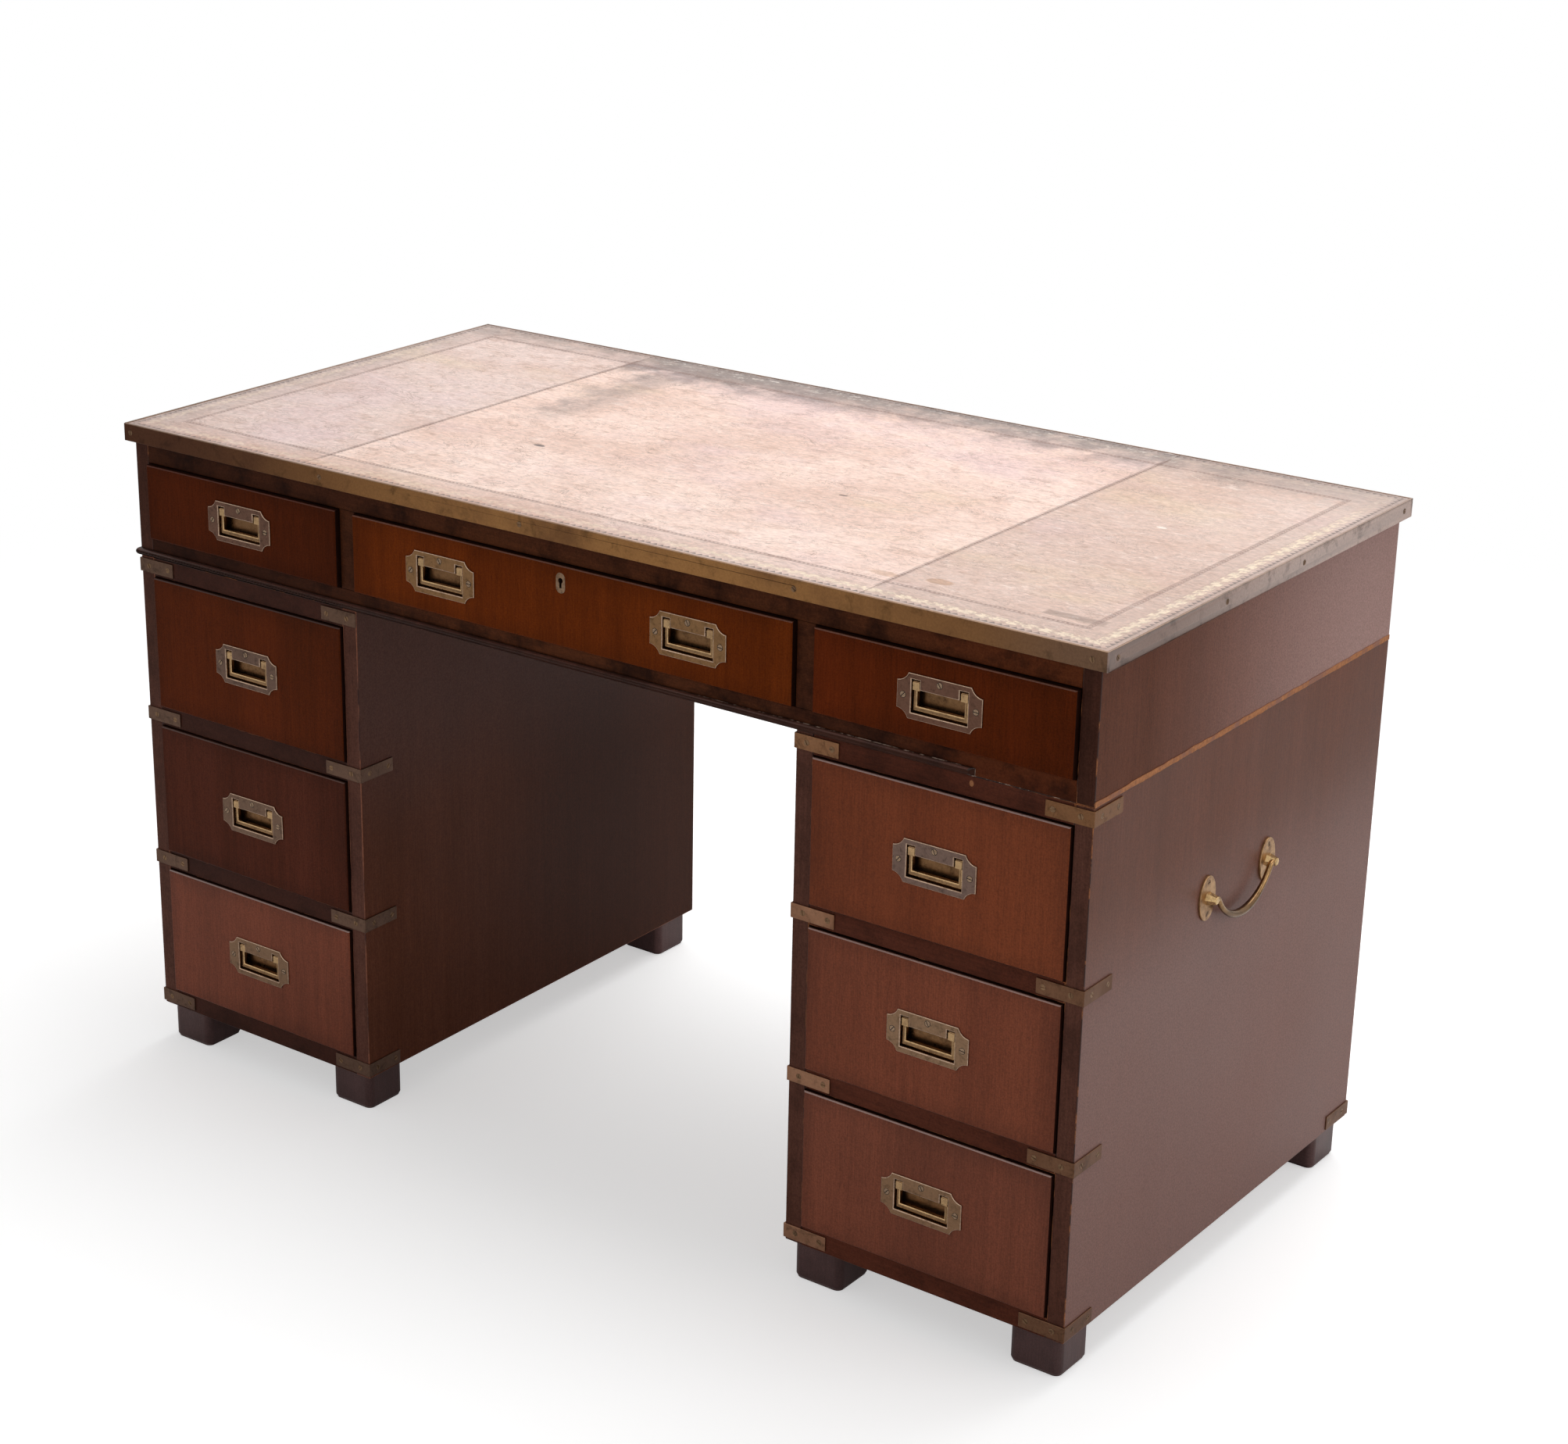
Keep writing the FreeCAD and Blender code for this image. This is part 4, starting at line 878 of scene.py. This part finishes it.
class DESK_OT_pulls(bpy.types.Operator):
    """Casts the ten recessed pulls and hangs their folding bails"""
    bl_idname = "desk.pulls"
    bl_label = "Pulls"

    # Each plate's colour, which differs from bay to bay; the faces are painted darker than their brass, a painted
    # reflection of dim surroundings.
    PLATES = {
        "top_left": "#6d5042", "top_centre": "#886645", "top_right": "#6c4e40",
        "left_upper": "#6d564a", "left_middle": "#735b4b", "left_lower": "#82664f",
        "right_upper": "#776157", "right_middle": "#8c6f56", "right_lower": "#8c6d53"}

    def execute(self, context):
        sizes = context.scene.desk_sizes
        well = aged_brass("dull_brass_well", "#7d5c3e", "#3c281b", 0.45, 0.22, 0.012)
        screw = aged_brass("rubbed_brass_screw", "#9c826a", "#6a5342", 0.35, 0.2, 0.004)
        # The plates' rounded rims and window lips: rubbed brass, paler as a painted highlight.
        rim = aged_brass("rim_brass_rubbed_and_highlight", "#b89c86", "#7a6150", 0.45, 0.18, 0.012)
        dirt = bare_timber("wax_and_dirt", linear("#1d140d"), linear("#140d08"), 0.5)
        arm = aged_brass("rubbed_brass_bail", "#8f7050", "#5a412d", 0.45, 0.22, 0.012)
        # The bails' rounded front edges: a paler brass, a painted highlight.
        bar = aged_brass("painted_highlight_brass_bail", "#bc9a70", "#7c5f45", 0.4, 0.18, 0.01)
        for bay in BAYS:
            plate_low, plate_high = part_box(f"{bay}_pull_plate")
            colour = self.PLATES[bay]
            plate = aged_brass(f"aged_brass_{bay}_pull", colour, darker(colour, 0.6), 0.35, 0.32, 0.025)
            for node in [n for n in NODES if n.startswith(bay) and n.endswith("pull_bail")]:
                low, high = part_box(node)
                spot = ((low.x + high.x) / 2, plate_low.y, plate_high.z)
                for bm, name, stands_for, materials in (
                        (pull_casting(sizes), node.replace("_bail", "_casting"), f"{bay}_pull_plate",
                         [plate, well, screw, dirt, rim]),
                        (folding_bail(sizes), node.replace("_bail", "_folding_bail"), node, [arm, bar])):
                    move(bm, spot)
                    place_piece(name, bm, BODY_OF[stands_for], materials, [stands_for])
        return {"FINISHED"}


class DESK_OT_carry_handles(bpy.types.Operator):
    """Mounts the two carrying handles' plates and bends their rods"""
    bl_idname = "desk.carry_handles"
    bl_label = "Carrying handles"

    def execute(self, context):
        sizes = context.scene.desk_sizes
        plate = aged_brass("aged_brass_handle_plate", "#b08b64", "#684a35", 0.5, 0.24, 0.01)
        post = aged_brass("rubbed_brass_post", "#cfae7c", "#86663f", 0.4, 0.16, 0.008)
        rod = aged_brass("rubbed_brass_rod", "#977650", "#5e4631", 0.5, 0.1, 0.05, fades=[
            ("z", 0.432, 0.412, "#4f3c2e", 0.6)])
        for side, out in zip(SIDES, (-1, 1)):
            plates, bail = f"{side}_carry_plates", f"{side}_carry_bail"
            low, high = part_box(plates)
            bail_low, bail_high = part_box(bail)
            place_piece(f"{side}_carry_mounts", handle_plates(sizes, plates, out), BODY_OF[plates],
                        [plate, post], [plates])
            bm = rod_handle(sizes, (bail_low.x + bail_high.x) / 2, (low.y + PLATE_HALF, high.y - PLATE_HALF),
                            (low.z + high.z) / 2)
            place_piece(f"{side}_carry_rod", bm, BODY_OF[bail], [rod], [bail])
        return {"FINISHED"}


class DESK_OT_leather(bpy.types.Operator):
    """Lays the three tooled leather skins"""
    bl_idname = "desk.leather"
    bl_label = "Leather"

    def execute(self, context):
        sizes, finishes = context.scene.desk_sizes, context.scene.desk_finishes
        hide = tooled_leather("tooled_hide_skiver", sizes, finishes)
        low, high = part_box("writing_leather")
        gap, spacing = 0.0001, 0.012
        for name, start, end in (("left", low.x, -SEAM - gap), ("middle", -SEAM + gap, SEAM - gap),
                                 ("right", SEAM + gap, high.x)):
            bm = bmesh.new()
            bmesh.ops.create_grid(bm, x_segments=round((end - start) / spacing),
                                  y_segments=round((high.y - low.y) / spacing), size=0.5)
            bmesh.ops.scale(bm, verts=bm.verts, vec=(end - start, high.y - low.y, 1.0))
            move(bm, ((start + end) / 2, 0.0, low.z))
            thicken(bm, (0.0, 0.0, high.z - low.z))
            round_edges(bm, edges_at(bm, lambda c: c.z > high.z - 1e-6, 1.0), sizes.leather_edge, 2)
            for vert in bm.verts:
                if vert.co.z > high.z - 1e-5:
                    vert.co.z += sizes.leather_swell * (noise.fractal(vert.co * 9.0, 1.0, 2.0, 3) * 0.7 - 0.35)
            place_piece(f"{name}_leather_skin", bm, "desk", [hide], ["writing_leather"])
        return {"FINISHED"}


class DESK_OT_scars(bpy.types.Operator):
    """Shows the bare strip where the base bead is lost, and a chip in a rail"""
    bl_idname = "desk.scars"
    bl_label = "Bead scars"

    def execute(self, context):
        sizes = context.scene.desk_sizes
        bare = bare_timber("mahogany_bead_scar", linear("#b5774c"), linear("#8a4d2c"), 0.85)
        low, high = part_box("case_end_panels")
        thick, proud, chip_x, chip_z = 0.0008, 0.0002, 0.4940, 0.6024
        bm = block((thick, high.y - low.y - 0.001, sizes.scar_height),
                   (high.x + proud, (low.y + high.y) / 2, low.z + 0.0001 + sizes.scar_height / 2))
        long_edges = [e for e in bm.edges if abs(e.verts[0].co.y - e.verts[1].co.y) > 0.1]
        bmesh.ops.subdivide_edges(bm, edges=long_edges, cuts=90, use_grid_fill=True)
        for vert in bm.verts:
            if vert.co.z > low.z + sizes.scar_height / 2:
                vert.co.z += 0.0011 * noise.noise(vert.co * 60.0) - 0.0004
        bmesh.ops.recalc_face_normals(bm, faces=bm.faces)
        place_piece("end_bead_scar", bm, "desk", [bare])

        chip = disc(1.0, -0.0003, 14)
        bmesh.ops.scale(chip, verts=chip.verts, vec=(0.0024, 1.0, 0.0031))
        move(chip, (chip_x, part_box("right_pedestal_rails")[0].y + proud, chip_z))
        place_piece("rail_chip", chip, "desk", [bare])
        return {"FINISHED"}


class DESK_OT_stage(bpy.types.Operator):
    """Sets the floor, the studio light and the camera"""
    bl_idname = "desk.stage"
    bl_label = "Stage"

    def execute(self, context):
        scene = context.scene
        white = linear("#ffffff")
        scene.view_settings.view_transform = "Standard"
        bm = bmesh.new()
        bmesh.ops.create_grid(bm, x_segments=4, y_segments=4, size=24.0)
        mesh = bpy.data.meshes.new("studio_floor")
        bm.to_mesh(mesh)
        bm.free()
        floor = bpy.data.objects.new("studio_floor", mesh)
        scene.collection.objects.link(floor)

        # Matt white paper: it takes the desk's shadow close by, and further off shows as plain white.
        material, add, shader, place = start_material("matt_white_paper", {
            "Base Color": linear("#eeeeee"), "Roughness": 0.9, "Specular IOR Level": 0.1, "Emission Color": white})
        seen = add("maximum", add("camera ray"), add("clear ray"))
        mirrored = add("maximum", seen, add("glossy ray"))
        far = add("ramp", add("length", place), 0.9, 2.6)
        far = add("multiply", far, seen)
        glow = add("multiply add", seen, 0.4, add("multiply", mirrored, 0.1))
        tree = material.node_tree
        tree.links.new(glow, shader.inputs["Emission Strength"])
        both = add("either shader", far, shader.outputs[0], add("glow", white, 1.0))
        tree.links.new(both, tree.nodes["Material Output"].inputs["Surface"])
        mesh.materials.append(material)

        world = bpy.data.worlds.new("studio")
        world.use_nodes = True
        tree = world.node_tree
        add = functools.partial(add_node, tree)
        seen = add("maximum", add("camera ray"), add("clear ray"))
        seen = add("maximum", seen, add("glossy ray"))
        ground = tree.nodes["Background"]
        ground.inputs["Color"].default_value = white
        tree.links.new(add("range", seen, 0.0, 1.0, 0.32, 1.0), ground.inputs["Strength"])
        scene.world = world

        for name, spot, aim, size, watts in (
                ("overhead_softbox", (0.1, 0.9, 3.1), (0.0, 0.05, 0.6), 2.6, 74.0),
                ("right_softbox", (3.0, 0.6, 1.9), (0.4, 0.0, 0.4), 2.0, 14.0),
                ("front_fill", (-1.2, -3.6, 2.2), (0.0, 0.0, 0.4), 2.4, 3.0)):
            lamp = bpy.data.lights.new(name, "AREA")
            lamp.shape, lamp.size, lamp.energy = "SQUARE", size, watts
            holder = bpy.data.objects.new(name, lamp)
            holder.location = spot
            holder.rotation_euler = (Vector(aim) - Vector(spot)).to_track_quat("-Z", "Y").to_euler()
            holder.visible_camera = False
            scene.collection.objects.link(holder)

        lens = bpy.data.cameras.new("photograph_camera")
        lens.sensor_fit, lens.sensor_width, lens.lens = "HORIZONTAL", 36.0, 71.462
        lens.shift_x, lens.shift_y = 0.0921, 0.004
        lens.clip_end = 100.0
        camera = bpy.data.objects.new("photograph_camera", lens)
        right = Vector((0.787805, 0.615915, 0.003404))
        up = Vector((-0.217936, 0.27358, 0.936834))
        back = Vector((0.576079, -0.738785, 0.349758))
        turn = Matrix((right, up, back)).transposed().to_4x4()
        camera.matrix_world = Matrix.Translation((1.92117, -2.64481, 1.67239)) @ turn
        scene.collection.objects.link(camera)
        scene.camera = camera
        return {"FINISHED"}


class DESK_PT_pieces(bpy.types.Panel):
    """Lists the desk's steps and their values"""
    bl_idname = "DESK_PT_pieces"
    bl_label = "Campaign desk"
    bl_space_type = "VIEW_3D"
    bl_region_type = "UI"
    bl_category = "Desk"

    def draw(self, context):
        for step in STEPS:
            self.layout.operator(step.bl_idname)
        for group in (context.scene.desk_sizes, context.scene.desk_finishes):
            column = self.layout.column()
            for name in group.__annotations__:
                column.prop(group, name)


STEPS = (DESK_OT_boards, DESK_OT_drawers, DESK_OT_brass, DESK_OT_pulls, DESK_OT_carry_handles, DESK_OT_leather,
         DESK_OT_scars, DESK_OT_stage)
CLASSES = (DeskSizes, DeskFinishes) + STEPS + (DESK_PT_pieces,)


def register():
    """Adds the desk's classes and values to Blender."""
    for item in CLASSES:
        bpy.utils.register_class(item)
    bpy.types.Scene.desk_sizes = bpy.props.PointerProperty(type=DeskSizes)
    bpy.types.Scene.desk_finishes = bpy.props.PointerProperty(type=DeskFinishes)


def unregister():
    """Takes the desk's classes and values out of Blender."""
    del bpy.types.Scene.desk_finishes
    del bpy.types.Scene.desk_sizes
    for item in reversed(CLASSES):
        bpy.utils.unregister_class(item)


def main():
    """Makes every piece and the stage in order."""
    register()
    bpy.ops.desk.boards()
    bpy.ops.desk.drawers()
    bpy.ops.desk.brass()
    bpy.ops.desk.pulls()
    bpy.ops.desk.carry_handles()
    bpy.ops.desk.leather()
    bpy.ops.desk.scars()
    bpy.ops.desk.stage()


if __name__ == "__main__":
    main()
